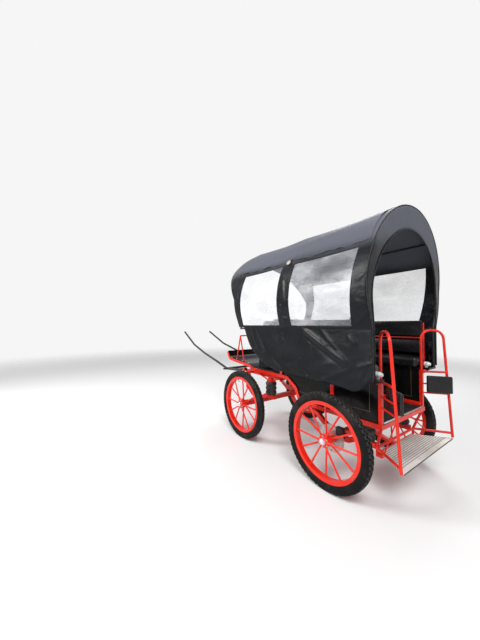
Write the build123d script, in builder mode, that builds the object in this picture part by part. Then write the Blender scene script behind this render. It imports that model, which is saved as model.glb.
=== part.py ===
"""Covered wagonette for one horse: a steel-framed four-wheeled carriage with two lengthwise benches under a
bowed canopy, a steering forecarriage on a turntable, air-sprung axles, a rear step and a pair of shafts.
Lengths are in mm. X runs forward from the rear axle, Y to the left and Z up from the ground."""

import math
import os

from build123d import *

# Wheels and axles
WHEELBASE = 1350
TRACK_HALF = 655
WHEEL_R = 450
TYRE_W = 80
RIM_R = 368
RIM_DEPTH = 34
RIM_W = 60
RIM_WELL = 14
BEAD_W = 44
SPOKES = 12
SPOKE_R = 9
SPOKE_DISH = 26
SPOKE_SINK = 6
HUB_R = 42
HUB_FLANGE_R = 56
HUB_IN = 100
HUB_OUT = 42
HUB_CHAMFER = (8, 12)
SIDEWALL_R = WHEEL_R - 46
SHOULDER_R = WHEEL_R - 14
SHOULDER_W = TYRE_W - 16
CAP_R = 30
CAP_LEN = 18
SPINDLE_R = 17
SPINDLE_PLAY = 0.05
AXLE_SIZE = 60
AXLE_HALF = 530
DISC_R = 130
DISC_T = 7
DISC_PLAY = 5
CALIPER_L = 66
CALIPER_H = 75
CALIPER_LIP = 20
CALIPER_FOOT = 25

# Small gap that keeps seated pieces apart
SEAT_GAP = 0.3

# Body rails: they rise over the front wheels in a cut-under arch and slope up to the toe board
RAIL_Y = 435
RAIL_W = 30
RAIL_H = 40
RAIL_BEND = 70
REAR_X = -421
SILL_D = 40
LOW_RAIL_Z = 655
HIGH_RAIL_Z = 895
PLATFORM_X = WHEELBASE - 650
FLOOR_END_X = PLATFORM_X - 200
FOOT_X = WHEELBASE - 20
ARCH_ROUTE = [(PLATFORM_X - 140, LOW_RAIL_Z + 145), (PLATFORM_X, HIGH_RAIL_Z)]
FOOT_ROUTE = [(FOOT_X, HIGH_RAIL_Z), (FOOT_X + 130, HIGH_RAIL_Z + 43), (FOOT_X + 670, HIGH_RAIL_Z + 90),
              (FOOT_X + 732, HIGH_RAIL_Z + 200)]
BOARD_T = 12
FOOTBOARD_T = 10
FOOT_GAP = 30
STANDARD_XS = (70, PLATFORM_X + 100)
STANDARD_W = 40
STANDARD_T = 14
OUTRIGGER_Y = 640
OUTRIGGER_T = 12
HANGER_T = 6
HANGER_HALF = 25

# Benches: a shelf over the wheels, a cushion on it, and two pads hung on a rail behind it
SHELF_Z = 1062
SHELF_T = 20
SHELF_IN = 405
BENCH_REAR_X = -376
BENCH_FRONT_X = PLATFORM_X + 250
SHELF_TAIL_X = -456
SHELF_TAIL_IN = 475
CUSHION_H = 130
CUSHION_IN = 370
CUSHION_OUT = 588
BACK_RAIL_Y = 618
BACK_RAIL_Z = 1390
BACK_RAIL_R = 10
BACK_PAD_T = 40
LOW_PAD = (1215, 1374)
TOP_PAD = (1406, 1590)
POST_XS = (BENCH_REAR_X + 21, 270, BENCH_FRONT_X - 25)

# Driver's seat on the platform
DRIVER_X = (BENCH_FRONT_X + 10, BENCH_FRONT_X + 350)
DRIVER_SEAT_Z = 1230
DRIVER_HALF = 395
DRIVER_CUSHION_H = 90
DRIVER_BACK_H = 300

# Canopy: one arc over the top, tangent to sides that lean in to a hanging skirt. Above the arc's centre it
# leans back at the rear and reaches forward as a visor over the driver
CANOPY_REAR_X = -460
CANOPY_FRONT_X = WHEELBASE + 60
SKIRT_Y = 660
SKIRT_Z = 1010
CREASE_Z = 1505
SIDE_LEAN = math.radians(21.04)
ARCH_R = 751
ARCH_Z = CREASE_Z + (ARCH_R - SKIRT_Y * math.cos(SIDE_LEAN)) / math.sin(SIDE_LEAN)
REAR_LEAN = -4.5
VISOR_LEAN = 30
CLOTH_T = 4
PANE_T = 2
MOUTH_R = ARCH_R - 83
MOUTH_Z = ARCH_Z - 133
MOUTH_FOOT_Y = SKIRT_Y - 20

# Windows: bottom and top of each clear panel, with the X limits at the bottom and at the top
WINDOW_Z = (1530, 2225)
WINDOW_SPANS = [((-284, 409), (-370, 335)), ((594, 1300), (510, 1215))]

# Canopy frame: hoops on the bench shelves, purlins between them and a bow that carries the visor
HOOP_R = 12.5
PURLIN_R = 10
SIDE_RAIL_Z = CREASE_Z - 20
HOOP_XS = (CANOPY_REAR_X + 18, 501, CANOPY_FRONT_X - 18)
FRONT_LEG_X = BENCH_FRONT_X - 20
PURLIN_ANGLES = (45, 90, 135)
DRIVER_CUT = [(CANOPY_FRONT_X - 710, SKIRT_Z), (CANOPY_FRONT_X - 320, SKIRT_Z + 180),
              (CANOPY_FRONT_X - 120, CREASE_Z - 5)]

# Rear step, its rails and the hooped grab handles
STEP_TOP_Z = 400
STEP_T = 15
STEP_FRONT_X = -351
STEP_REAR_X = -624
STEP_FRONT_HALF = 320
STEP_REAR_HALF = 548
STEP_RISE = 40
STEP_TUBE_R = 12
GRAB_R = 12
POST_HALF = 15
GRAB_TOP_Z = 1480
GRAB_FRONT = (-401, 425)
GRAB_REAR_TOP = (-545, 577)
GRAB_REAR_FOOT = (-617, 566)
GRAB_BEND = 92
GRAB_BAR_Z = 1046
GRAB_CLAMP = (40, 32)
GRAB_PAD_Z = (826, 1020)
GRAB_PAD_T = 44
GRAB_PAD_ENDS = (26, 30)
GUARD_ZS = (825, 920)
GUARD_R = 8
STAY_Y = 150
STAY_R = 6
LAMP_Y = 505
LAMP_Z = 1120
LAMP_R = 24
LAMP_X = SHELF_TAIL_X + 20
LAMP_L = 30
LAMP_NOSE = 22

# Dash rail
DASH_X = FOOT_X + 415
DASH_Y = 410
DASH_Z = 1365
DASH_SPREAD = 110

# Forecarriage: turntable, frame, trailing arms and air bellows
TURN_R = 200
TURN_Z = 855
TURN_T = 14.7
KING_R = 15
FORE_Y = 350
ARM_Y = 350
FORE_W = 40
FORE_REAR_X = WHEELBASE - 470
FORE_FRONT_X = WHEELBASE + 290
BELLOW_R = 74
BELLOW_WAIST_R = 60
BELLOW_SEAT = 10
EYE_BOSS_R = 13
EYE_BOSS_T = 9
FRONT_BELLOW = (WHEELBASE - 255, 587, 765)
REAR_BELLOW = (-235, 470, 634)
ROD_R = 10
ROD_ROUTE = [(WHEELBASE - 40, TURN_Z - 22), (FRONT_BELLOW[0], TURN_Z - 78), (WHEELBASE - 460, TURN_Z - 22)]
ARM_W = 40
ARM_H = 48
ARM_BEND = 60
REAR_EYE = (FLOOR_END_X - 45, 590)
FRONT_EYE = (FORE_FRONT_X - 25, 600)

# Shafts, as a route of the left shaft from its pivot
SHAFT_R = 19
BAR_Z = 818
PIVOT_X = WHEELBASE + 150
SHAFT_PIVOT = (PIVOT_X, 497, 886)
BAR_X = PIVOT_X + 540
SHAFT_ROUTE = [SHAFT_PIVOT, (PIVOT_X + 220, 488, 846), (BAR_X, 475, BAR_Z), (BAR_X + 400, 446, 892),
               (BAR_X + 960, 395, 975), (BAR_X + 1520, 366, 1108), (BAR_X + 2134, 331, 1364)]
SHAFT_BEND = 420
PIVOT_R = 8
EYE_R = 24
EAR_R = 20
EAR_T = 8
EAR_REACH = 30
YOKE_X = PIVOT_X - 18
YOKE_Z = 835
YOKE_R = 14
BAR_HALF = 540
BAR_END_R = 13
BAR_END = 46


def tube(route, radius, bend=0):
    """A round bar along straight runs joined by bends."""
    with BuildPart() as piece:
        with BuildLine() as path:
            if len(route) > 2:
                FilletPolyline(*route, radius=bend)
            else:
                Line(*route)
        with BuildSketch(Plane(origin=path.line @ 0, z_dir=path.line % 0)):
            Circle(radius)
        sweep()
    return piece.part


def strip(route, width, height, y=0, lift=0, bend=RAIL_BEND):
    """A flat bar or sheet along a route of (x, z) points, lifted square to it."""
    with BuildPart() as piece:
        with BuildLine() as path:
            if len(route) > 2:
                FilletPolyline(*[(x, y, z) for x, z in route], radius=bend)
            else:
                Line(*[(x, y, z) for x, z in route])
        with BuildSketch(Plane(origin=path.line @ 0, x_dir=(0, 1, 0), z_dir=path.line % 0)):
            with Locations((0, lift)):
                Rectangle(width, height)
        sweep()
    return piece.part


def block(x, y, z):
    """A square bar or board between pairs of limits."""
    with BuildPart() as piece:
        with Locations(((x[0] + x[1]) / 2, (y[0] + y[1]) / 2, (z[0] + z[1]) / 2)):
            Box(x[1] - x[0], y[1] - y[0], z[1] - z[0])
    return piece.part


def arch_points(inset):
    """Crease and tangent point of the canopy's left side, and the arc's radius, evenly inset."""
    radius = ARCH_R - inset
    crease = (SKIRT_Y - inset, CREASE_Z + inset * math.tan(SIDE_LEAN / 2))
    touch = (radius * math.cos(SIDE_LEAN), ARCH_Z - radius * math.sin(SIDE_LEAN))
    return crease, touch, radius


def flip(point):
    """The same point on the right side."""
    return (-point[0], point[1])


def arch_outline(inset, z_low):
    """The canopy's closed section, evenly inset, as a flat sketch."""
    crease, touch, radius = arch_points(inset)
    with BuildSketch() as outline:
        with BuildLine():
            Polyline(touch, crease, (crease[0], z_low), (-crease[0], z_low), flip(crease), flip(touch))
            ThreePointArc(flip(touch), (0, ARCH_Z + radius), touch)
        make_face()
    return outline.sketch


def arch_shell(outer, inner, x, z_low):
    """A slice of the canopy's wall between two insets."""
    with BuildPart() as piece:
        with BuildSketch(Plane.YZ.offset(x[0])):
            add(arch_outline(outer, z_low))
            add(arch_outline(inner, z_low - 1), mode=Mode.SUBTRACT)
        extrude(amount=x[1] - x[0])
    return piece.part


made = {}


def keep(name, part):
    """Labels a finished piece and puts it with the others."""
    part.label = name
    made[name] = part


# Wheels: a welded steel rim with twelve staggered spokes, its tyre and its hub cap
BORE_R = SPINDLE_R + SPINDLE_PLAY
SPOKE_FOOT_R = HUB_R - SPOKE_SINK
SPOKE_HEAD_R = RIM_R - RIM_DEPTH + SPOKE_SINK
FLANGE_Y = SPOKE_DISH + SPOKE_SINK
WHEELS = [
    # name, x, side
    ("rear_left", 0, 1),
    ("rear_right", 0, -1),
    ("front_left", WHEELBASE, 1),
    ("front_right", WHEELBASE, -1),
]



def wheel_spot(x, side):
    """A wheel's place, turned about so that its cap faces out."""
    return Location((x, TRACK_HALF * side, WHEEL_R), (0, 0, 0 if side > 0 else 180))


with BuildPart() as wheel:
    with BuildSketch(Plane.YZ):
        with BuildLine():
            Polyline((-RIM_W / 2, RIM_R - RIM_DEPTH), (RIM_W / 2, RIM_R - RIM_DEPTH), (RIM_W / 2, RIM_R),
                     (BEAD_W / 2, RIM_R), (BEAD_W / 2, RIM_R - RIM_WELL), (-BEAD_W / 2, RIM_R - RIM_WELL),
                     (-BEAD_W / 2, RIM_R), (-RIM_W / 2, RIM_R), close=True)
        make_face()
        with BuildLine():
            Polyline((-HUB_IN, BORE_R), (HUB_OUT, BORE_R), (HUB_OUT, HUB_R - HUB_CHAMFER[0]),
                     (HUB_OUT - HUB_CHAMFER[1], HUB_R), (FLANGE_Y, HUB_R), (FLANGE_Y, HUB_FLANGE_R),
                     (-FLANGE_Y, HUB_FLANGE_R), (-FLANGE_Y, HUB_R), (-HUB_IN, HUB_R), close=True)
        make_face()
    revolve(axis=Axis.Y)
    for spoke in range(SPOKES):
        angle = math.radians(360 / SPOKES * spoke)
        side = SPOKE_DISH if spoke % 2 else -SPOKE_DISH
        foot = Vector(SPOKE_FOOT_R * math.sin(angle), side, SPOKE_FOOT_R * math.cos(angle))
        head = Vector(SPOKE_HEAD_R * math.sin(angle), side * 0.3, SPOKE_HEAD_R * math.cos(angle))
        with BuildSketch(Plane(origin=foot, z_dir=head - foot)):
            Circle(SPOKE_R)
        extrude(amount=(head - foot).length)

with BuildPart() as tyre:
    with BuildSketch(Plane.YZ):
        with BuildLine():
            bead_r = RIM_R - RIM_WELL + SEAT_GAP
            bead = BEAD_W / 2 - SEAT_GAP
            Polyline((bead, RIM_R + SEAT_GAP), (bead, bead_r), (-bead, bead_r), (-bead, RIM_R + SEAT_GAP),
                     (-RIM_W / 2, RIM_R + SEAT_GAP))
            shoulder = (SHOULDER_W / 2, SHOULDER_R)
            ThreePointArc((-RIM_W / 2, RIM_R + SEAT_GAP), (-TYRE_W / 2, SIDEWALL_R), flip(shoulder))
            ThreePointArc(flip(shoulder), (0, WHEEL_R), shoulder)
            ThreePointArc(shoulder, (TYRE_W / 2, SIDEWALL_R), (RIM_W / 2, RIM_R + SEAT_GAP))
            Line((RIM_W / 2, RIM_R + SEAT_GAP), (bead, RIM_R + SEAT_GAP))
        make_face()
    revolve(axis=Axis.Y)

with BuildPart() as hub_cap:
    with BuildSketch(Plane.YZ):
        with BuildLine():
            cap_end = HUB_OUT + CAP_LEN
            Polyline((HUB_OUT, 0), (HUB_OUT, CAP_R), (HUB_OUT + CAP_LEN * 0.6, CAP_R * 0.93),
                     (cap_end, CAP_R * 0.66), (cap_end, 0), close=True)
        make_face()
    revolve(axis=Axis.Y)

for name, x, side in WHEELS:
    spot = wheel_spot(x, side)
    keep("wheel_" + name, wheel.part.moved(spot))
    keep("tyre_" + name, tyre.part.moved(spot))
    keep("hub_cap_" + name, hub_cap.part.moved(spot))

# Rear brake discs, bolted to the hubs' inner ends
with BuildPart() as disc:
    with BuildSketch(Plane.XZ.offset(HUB_IN)):
        Circle(DISC_R)
        Circle(SPINDLE_R + SPINDLE_PLAY, mode=Mode.SUBTRACT)
    extrude(amount=DISC_T)
for name, x, side in WHEELS[:2]:
    keep("brake_disc_" + name, disc.part.moved(wheel_spot(x, side)))

# Brake calipers, carried on brackets on the axle beam and slotted for the discs
disc_y = (TRACK_HALF - HUB_IN - DISC_T, TRACK_HALF - HUB_IN)
axle_top = WHEEL_R + AXLE_SIZE / 2
with BuildPart() as brake_calipers:
    caliper_x = DISC_PLAY - DISC_R
    add(block((caliper_x, caliper_x + CALIPER_L), (AXLE_HALF, disc_y[1] + CALIPER_LIP),
              (axle_top + CALIPER_FOOT, axle_top + CALIPER_FOOT + CALIPER_H)))
    add(block((caliper_x, AXLE_SIZE / 3), (AXLE_HALF - AXLE_SIZE / 2, AXLE_HALF),
              (axle_top + SEAT_GAP, axle_top + CALIPER_FOOT + CALIPER_LIP)))
    with BuildSketch(Plane.XZ.offset(-disc_y[0] + DISC_PLAY)):
        with Locations((0, WHEEL_R)):
            Circle(DISC_R + DISC_PLAY)
    extrude(amount=-(DISC_T + 2 * DISC_PLAY), mode=Mode.SUBTRACT)
    mirror(about=Plane.XZ)
keep("brake_calipers", brake_calipers.part)

# Axle beams with a turned spindle at each end
with BuildPart() as axle:
    add(block((-AXLE_SIZE / 2, AXLE_SIZE / 2), (-AXLE_HALF, AXLE_HALF),
              (WHEEL_R - AXLE_SIZE / 2, WHEEL_R + AXLE_SIZE / 2)))
    spindle_end = TRACK_HALF + HUB_OUT - SEAT_GAP
    add(tube([(0, -spindle_end, WHEEL_R), (0, spindle_end, WHEEL_R)], SPINDLE_R))
keep("rear_axle", axle.part)
keep("front_axle", axle.part.moved(Location((WHEELBASE, 0, 0))))

# Chassis: side rails, cross-members and the upright bars that carry the benches
RAIL_ROUTE = [(REAR_X + SILL_D, LOW_RAIL_Z), (FLOOR_END_X, LOW_RAIL_Z)] + ARCH_ROUTE + FOOT_ROUTE
LOW_TOP = LOW_RAIL_Z + RAIL_H / 2
HIGH_TOP = HIGH_RAIL_Z + RAIL_H / 2
TURN_TOP = TURN_Z + 2 * TURN_T + SEAT_GAP
side_rails = [strip(RAIL_ROUTE, RAIL_W, RAIL_H, y=side * RAIL_Y) for side in (1, -1)]
CROSS_BARS = [
    # x limits, z limits, half width
    ((REAR_X, REAR_X + SILL_D), (LOW_RAIL_Z - RAIL_H / 2, LOW_TOP), RAIL_Y + RAIL_W / 2),
    ((FLOOR_END_X - 65, FLOOR_END_X - 25), (LOW_RAIL_Z - RAIL_H / 2, LOW_TOP), RAIL_Y),
    ((PLATFORM_X + 20, PLATFORM_X + 60), (HIGH_RAIL_Z - RAIL_H / 2, HIGH_TOP), RAIL_Y),
    ((WHEELBASE - 175, WHEELBASE - 125), (TURN_TOP, HIGH_TOP), RAIL_Y),
    ((WHEELBASE + 60, WHEELBASE + 100), (TURN_TOP, HIGH_TOP), RAIL_Y),
    ((FOOT_ROUTE[2][0] - 40, FOOT_ROUTE[2][0] - 10), (FOOT_ROUTE[2][1] - 20, FOOT_ROUTE[2][1]), RAIL_Y),
]
HANGER_OUT = ARM_W / 2 + SEAT_GAP + HANGER_T


def eye_hanger(eye, side, top_z):
    """Two cheeks that hold an arm's eye under a rail, with the pin's head and nut outside them."""
    with BuildPart() as hanger:
        for inner in (-HANGER_OUT, HANGER_OUT - HANGER_T):
            limits = sorted((side * (ARM_Y + inner), side * (ARM_Y + inner + HANGER_T)))
            add(block((eye[0] - HANGER_HALF, eye[0] + HANGER_HALF), limits, (eye[1] - HANGER_HALF, top_z)))
        for near in (-HANGER_OUT - EYE_BOSS_T, HANGER_OUT - 1):
            ends = [(eye[0], side * (ARM_Y + near + step), eye[1]) for step in (0, EYE_BOSS_T + 1)]
            add(tube(ends, EYE_BOSS_R))
    return hanger.part


with BuildPart() as body_frame:
    add(side_rails)
    for x, z, half in CROSS_BARS:
        add(block(x, (-half, half), z))
    for side in (1, -1):
        for x in STANDARD_XS:
            width = (x - STANDARD_W / 2, x + STANDARD_W / 2)
            low = LOW_TOP if x < FLOOR_END_X else HIGH_TOP
            inner = side * (RAIL_Y + RAIL_W / 2 - STANDARD_T)
            add(block(width, sorted((inner, inner + side * STANDARD_T)), (low - 5, SHELF_Z - SEAT_GAP)))
            add(block(width, sorted((inner, side * OUTRIGGER_Y)),
                      (SHELF_Z - OUTRIGGER_T, SHELF_Z - SEAT_GAP)))
        add(block((REAR_BELLOW[0] - 40, REAR_BELLOW[0] + 40), sorted((side * (ARM_Y - 50), side * RAIL_Y)),
                  (REAR_BELLOW[2] + SEAT_GAP, LOW_RAIL_Z)))
        bellow_seat_z = REAR_BELLOW[2] + SEAT_GAP
        add(tube([(REAR_BELLOW[0], side * ARM_Y, bellow_seat_z),
                  (REAR_BELLOW[0], side * ARM_Y, bellow_seat_z + BELLOW_SEAT)], BELLOW_WAIST_R))
        add(eye_hanger(REAR_EYE, side, LOW_RAIL_Z))
keep("body_frame", body_frame.part)

# Floor, bulkhead and driver's platform, in one bent sheet on the cross-members, and the footboard
FLOOR_HALF = RAIL_Y - RAIL_W / 2 - SEAT_GAP
floor_route = [(REAR_X + 4, LOW_RAIL_Z), (FLOOR_END_X, LOW_RAIL_Z)] + ARCH_ROUTE
floor_route += [(FOOT_X - 20, HIGH_RAIL_Z)]
floor_lift = RAIL_H / 2 + SEAT_GAP + BOARD_T / 2
with BuildPart() as floor_panel:
    add(strip(floor_route, 2 * FLOOR_HALF, BOARD_T, lift=floor_lift))
    for side in (1, -1):
        notch = sorted((side * (GRAB_FRONT[1] - POST_HALF - SEAT_GAP), side * RAIL_Y))
        add(block((REAR_X, REAR_X + SILL_D), notch, (LOW_RAIL_Z, LOW_RAIL_Z + RAIL_H)), mode=Mode.SUBTRACT)
keep("floor_panel", floor_panel.part)

foot_slope = (FOOT_ROUTE[1][1] - FOOT_ROUTE[0][1]) / (FOOT_ROUTE[1][0] - FOOT_ROUTE[0][0])
foot_start = (FOOT_X + FOOT_GAP, HIGH_RAIL_Z + FOOT_GAP * foot_slope)
with BuildPart() as footboard:
    add(strip([foot_start] + FOOT_ROUTE[1:], 2 * RAIL_Y + RAIL_W, FOOTBOARD_T,
              lift=RAIL_H / 2 + SEAT_GAP + FOOTBOARD_T / 2))
keep("footboard", footboard.part)

# Side panels of the tub, standing on the rails between the floor and the benches
PANEL_Y = (RAIL_Y - RAIL_W / 2, RAIL_Y - RAIL_W / 2 + BOARD_T)
with BuildPart() as tub_sides:
    for side in (1, -1):
        with BuildSketch(Plane.XZ.offset(-side * PANEL_Y[0])):
            with BuildLine():
                low_edge = RAIL_ROUTE[:4] + [(BENCH_FRONT_X, HIGH_RAIL_Z)]
                FilletPolyline(*low_edge, radius=RAIL_BEND)
                Polyline((BENCH_FRONT_X, HIGH_RAIL_Z), (BENCH_FRONT_X, SHELF_Z - SEAT_GAP),
                         (REAR_X + SILL_D, SHELF_Z - SEAT_GAP), RAIL_ROUTE[0])
            make_face()
        extrude(amount=-side * BOARD_T)
    add(side_rails, mode=Mode.SUBTRACT)
keep("tub_sides", tub_sides.part)

# Bench shelves, with a narrower tail behind each that carries the rear hoop and a lamp
with BuildPart() as bench_shelves:
    for side in (1, -1):
        limits = sorted((side * SHELF_IN, side * (SKIRT_Y - CLOTH_T - SEAT_GAP)))
        add(block((BENCH_REAR_X, BENCH_FRONT_X), limits, (SHELF_Z, SHELF_Z + SHELF_T)))
        tail = sorted((side * SHELF_TAIL_IN, side * (SKIRT_Y - CLOTH_T - SEAT_GAP)))
        add(block((SHELF_TAIL_X, BENCH_REAR_X), tail, (SHELF_Z, SHELF_Z + SHELF_T)))
keep("bench_shelves", bench_shelves.part)

CUSHION_Z = (SHELF_Z + SHELF_T + SEAT_GAP, SHELF_Z + SHELF_T + CUSHION_H)
with BuildPart() as bench_cushions:
    for side in (1, -1):
        limits = sorted((side * CUSHION_IN, side * CUSHION_OUT))
        add(block((BENCH_REAR_X, BENCH_FRONT_X), limits, CUSHION_Z))
    fillet(bench_cushions.edges().filter_by(Axis.X), radius=40)
keep("bench_cushions", bench_cushions.part)

# Back rails on posts, with a low and a top pad hung in front of them
with BuildPart() as back_rails:
    for side in (1, -1):
        y = side * BACK_RAIL_Y
        add(tube([(BENCH_REAR_X + 10, y, BACK_RAIL_Z), (BENCH_FRONT_X - 10, y, BACK_RAIL_Z)], BACK_RAIL_R))
        for x in POST_XS:
            add(tube([(x, y, SHELF_Z + SHELF_T + SEAT_GAP), (x, y, TOP_PAD[1] - 30)], BACK_RAIL_R))
keep("back_rails", back_rails.part)

PAD_OUT = BACK_RAIL_Y - BACK_RAIL_R - SEAT_GAP
with BuildPart() as bench_backs:
    for side in (1, -1):
        limits = sorted((side * (PAD_OUT - BACK_PAD_T), side * PAD_OUT))
        for z in (LOW_PAD, TOP_PAD):
            add(block((BENCH_REAR_X + 12, BENCH_FRONT_X - 12), limits, z))
    fillet(bench_backs.edges().filter_by(Axis.X), radius=15)
keep("bench_backs", bench_backs.part)

# Driver's seat across the platform: boarded box, cushion and backrest
PLATFORM_TOP = HIGH_TOP + SEAT_GAP + BOARD_T
with BuildPart() as driver_box:
    add(block(DRIVER_X, (-DRIVER_HALF, DRIVER_HALF), (PLATFORM_TOP + SEAT_GAP, DRIVER_SEAT_Z)))
    add(block((DRIVER_X[0] + BOARD_T, DRIVER_X[1] - BOARD_T), (-DRIVER_HALF + BOARD_T, DRIVER_HALF - BOARD_T),
              (PLATFORM_TOP, DRIVER_SEAT_Z - BOARD_T)), mode=Mode.SUBTRACT)
keep("driver_box", driver_box.part)

DRIVER_CUSHION_TOP = DRIVER_SEAT_Z + DRIVER_CUSHION_H
with BuildPart() as driver_cushion:
    add(block(DRIVER_X, (-DRIVER_HALF, DRIVER_HALF), (DRIVER_SEAT_Z + SEAT_GAP, DRIVER_CUSHION_TOP)))
    fillet(driver_cushion.edges().filter_by(Axis.Y), radius=30)
keep("driver_cushion", driver_cushion.part)

with BuildPart() as driver_back:
    add(block((DRIVER_X[0], DRIVER_X[0] + 60), (-DRIVER_HALF, DRIVER_HALF),
              (DRIVER_CUSHION_TOP + SEAT_GAP, DRIVER_CUSHION_TOP + DRIVER_BACK_H)))
    fillet(driver_back.edges().filter_by(Axis.Y), radius=20)
keep("driver_back", driver_back.part)

# Canopy hoops on the bench shelves, with purlins between them and the visor's bow on the front hoop
HOOP_INSET = CLOTH_T + SEAT_GAP + HOOP_R
HOOP_FOOT_Z = SHELF_Z + SHELF_T + SEAT_GAP
crease, touch, hoop_arc_r = arch_points(HOOP_INSET)


def leaned(x, lean):
    """The plane of a bow that leans about the arc's centre line."""
    tilt = math.radians(lean)
    return Plane(origin=(x, 0, ARCH_Z), x_dir=(0, 1, 0), z_dir=(math.cos(tilt), 0, -math.sin(tilt)))


with BuildPart() as canopy_hoops:
    for x in HOOP_XS:
        foot_z = HOOP_FOOT_Z if x < FRONT_LEG_X else SIDE_RAIL_Z - HOOP_R
        with BuildLine(Plane.YZ.offset(x)) as hoop_path:
            FilletPolyline((crease[0], foot_z), crease, touch, radius=1.6 * HOOP_R)
            ThreePointArc(touch, (0, ARCH_Z + hoop_arc_r), flip(touch))
            FilletPolyline(flip(touch), flip(crease), (-crease[0], foot_z), radius=1.6 * HOOP_R)
        with BuildSketch(Plane(origin=hoop_path.line @ 0, z_dir=hoop_path.line % 0)):
            Circle(HOOP_R)
        sweep()
    with BuildLine(leaned(HOOP_XS[-1], VISOR_LEAN)) as bow_path:
        ThreePointArc((hoop_arc_r, 0), (0, hoop_arc_r), (-hoop_arc_r, 0))
    with BuildSketch(Plane(origin=bow_path.line @ 0, z_dir=bow_path.line % 0)):
        Circle(PURLIN_R)
    sweep()
    for angle in PURLIN_ANGLES:
        y = hoop_arc_r * math.cos(math.radians(angle))
        z = ARCH_Z + hoop_arc_r * math.sin(math.radians(angle))
        add(tube([(HOOP_XS[0], y, z), (HOOP_XS[-1], y, z)], PURLIN_R))
    for y in (crease[0], -crease[0]):
        add(tube([(HOOP_XS[0], y, SIDE_RAIL_Z), (HOOP_XS[-1], y, SIDE_RAIL_Z)], PURLIN_R))
        add(tube([(FRONT_LEG_X, y, HOOP_FOOT_Z), (FRONT_LEG_X, y, SIDE_RAIL_Z)], PURLIN_R))
keep("canopy_hoops", canopy_hoops.part)


# Canopy cloth: arched shell with a leaning rear end face, a visor, window openings and the driver's cut-away
PIVOT_GAP = 2


def leaned_cloth(x, lean):
    """The half ring of cloth swept from upright to a lean."""
    with BuildPart() as piece:
        with BuildSketch(Plane(origin=(x, 0, ARCH_Z), x_dir=(0, 1, 0), z_dir=(1, 0, 0))):
            Circle(ARCH_R)
            Circle(ARCH_R - CLOTH_T, mode=Mode.SUBTRACT)
            with Locations((0, PIVOT_GAP - ARCH_R)):
                Rectangle(2 * ARCH_R, 2 * ARCH_R, mode=Mode.SUBTRACT)
        revolve(axis=Axis((x, 0, ARCH_Z), (0, math.copysign(1, lean), 0)), revolution_arc=abs(lean))
    return piece.part


def window_prism(bottom, top, inset):
    """A window's outline through both sides of the canopy."""
    with BuildPart() as piece:
        with BuildSketch(Plane.XZ):
            with BuildLine():
                Polyline((bottom[0], WINDOW_Z[0]), (bottom[1], WINDOW_Z[0]), (top[1], WINDOW_Z[1]),
                         (top[0], WINDOW_Z[1]), close=True)
            make_face()
            if inset:
                offset(amount=-inset, mode=Mode.REPLACE)
        extrude(amount=ARCH_R + 50, both=True)
    return piece.part


with BuildPart() as canopy:
    add(arch_shell(0, CLOTH_T, (CANOPY_REAR_X, CANOPY_FRONT_X), SKIRT_Z))
    add(leaned_cloth(CANOPY_REAR_X, REAR_LEAN))
    add(leaned_cloth(CANOPY_FRONT_X, VISOR_LEAN))
    with BuildSketch(leaned(CANOPY_REAR_X, REAR_LEAN)):
        Circle(ARCH_R)
        with Locations((0, MOUTH_Z - ARCH_Z)):
            Circle(MOUTH_R, mode=Mode.SUBTRACT)
        with Locations((0, -ARCH_R)):
            Rectangle(2 * ARCH_R, 2 * ARCH_R, mode=Mode.SUBTRACT)
    extrude(amount=-CLOTH_T)
    with BuildSketch(Plane.YZ.offset(CANOPY_REAR_X)):
        add(arch_outline(0, SKIRT_Z))
        with BuildLine():
            mouth_side = [(MOUTH_R, MOUTH_Z), (MOUTH_FOOT_Y, CREASE_Z), (MOUTH_FOOT_Y, SKIRT_Z - 1)]
            Polyline(*mouth_side, *[flip(point) for point in reversed(mouth_side)])
            ThreePointArc((-MOUTH_R, MOUTH_Z), (0, MOUTH_Z + MOUTH_R), (MOUTH_R, MOUTH_Z))
        make_face(mode=Mode.SUBTRACT)
        with Locations((0, ARCH_Z + ARCH_R)):
            Rectangle(2 * ARCH_R, 2 * ARCH_R, mode=Mode.SUBTRACT)
    extrude(amount=-CLOTH_T)
    for bottom, top in WINDOW_SPANS:
        add(window_prism(bottom, top, 0), mode=Mode.SUBTRACT)
    with BuildSketch(Plane.XZ):
        with BuildLine():
            ThreePointArc(*DRIVER_CUT)
            Polyline(DRIVER_CUT[-1], (CANOPY_FRONT_X + 1, CREASE_Z + 5), (CANOPY_FRONT_X + 1, SKIRT_Z - 1),
                     (DRIVER_CUT[0][0], SKIRT_Z - 1), DRIVER_CUT[0])
        make_face()
    extrude(amount=ARCH_R + 50, both=True, mode=Mode.SUBTRACT)
keep("canopy", canopy.part)

# Clear panes welded into the window openings
PANE_INSET = (CLOTH_T - PANE_T) / 2
with BuildPart() as window_panes:
    add(arch_shell(PANE_INSET, PANE_INSET + PANE_T, (CANOPY_REAR_X, CANOPY_FRONT_X), SKIRT_Z))
    prisms = [window_prism(bottom, top, SEAT_GAP) for bottom, top in WINDOW_SPANS]
    add(prisms[0] + prisms[1], mode=Mode.INTERSECT)
keep("window_panes", window_panes.part)

# Rear step: tread plate in a red frame
with BuildPart() as step_plate:
    with BuildSketch(Plane.XY.offset(STEP_TOP_Z - STEP_T)):
        with BuildLine():
            Polyline((STEP_FRONT_X, STEP_FRONT_HALF), (STEP_REAR_X, STEP_REAR_HALF),
                     (STEP_REAR_X, -STEP_REAR_HALF), (STEP_FRONT_X, -STEP_FRONT_HALF), close=True)
        make_face()
    extrude(amount=STEP_T)

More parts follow.
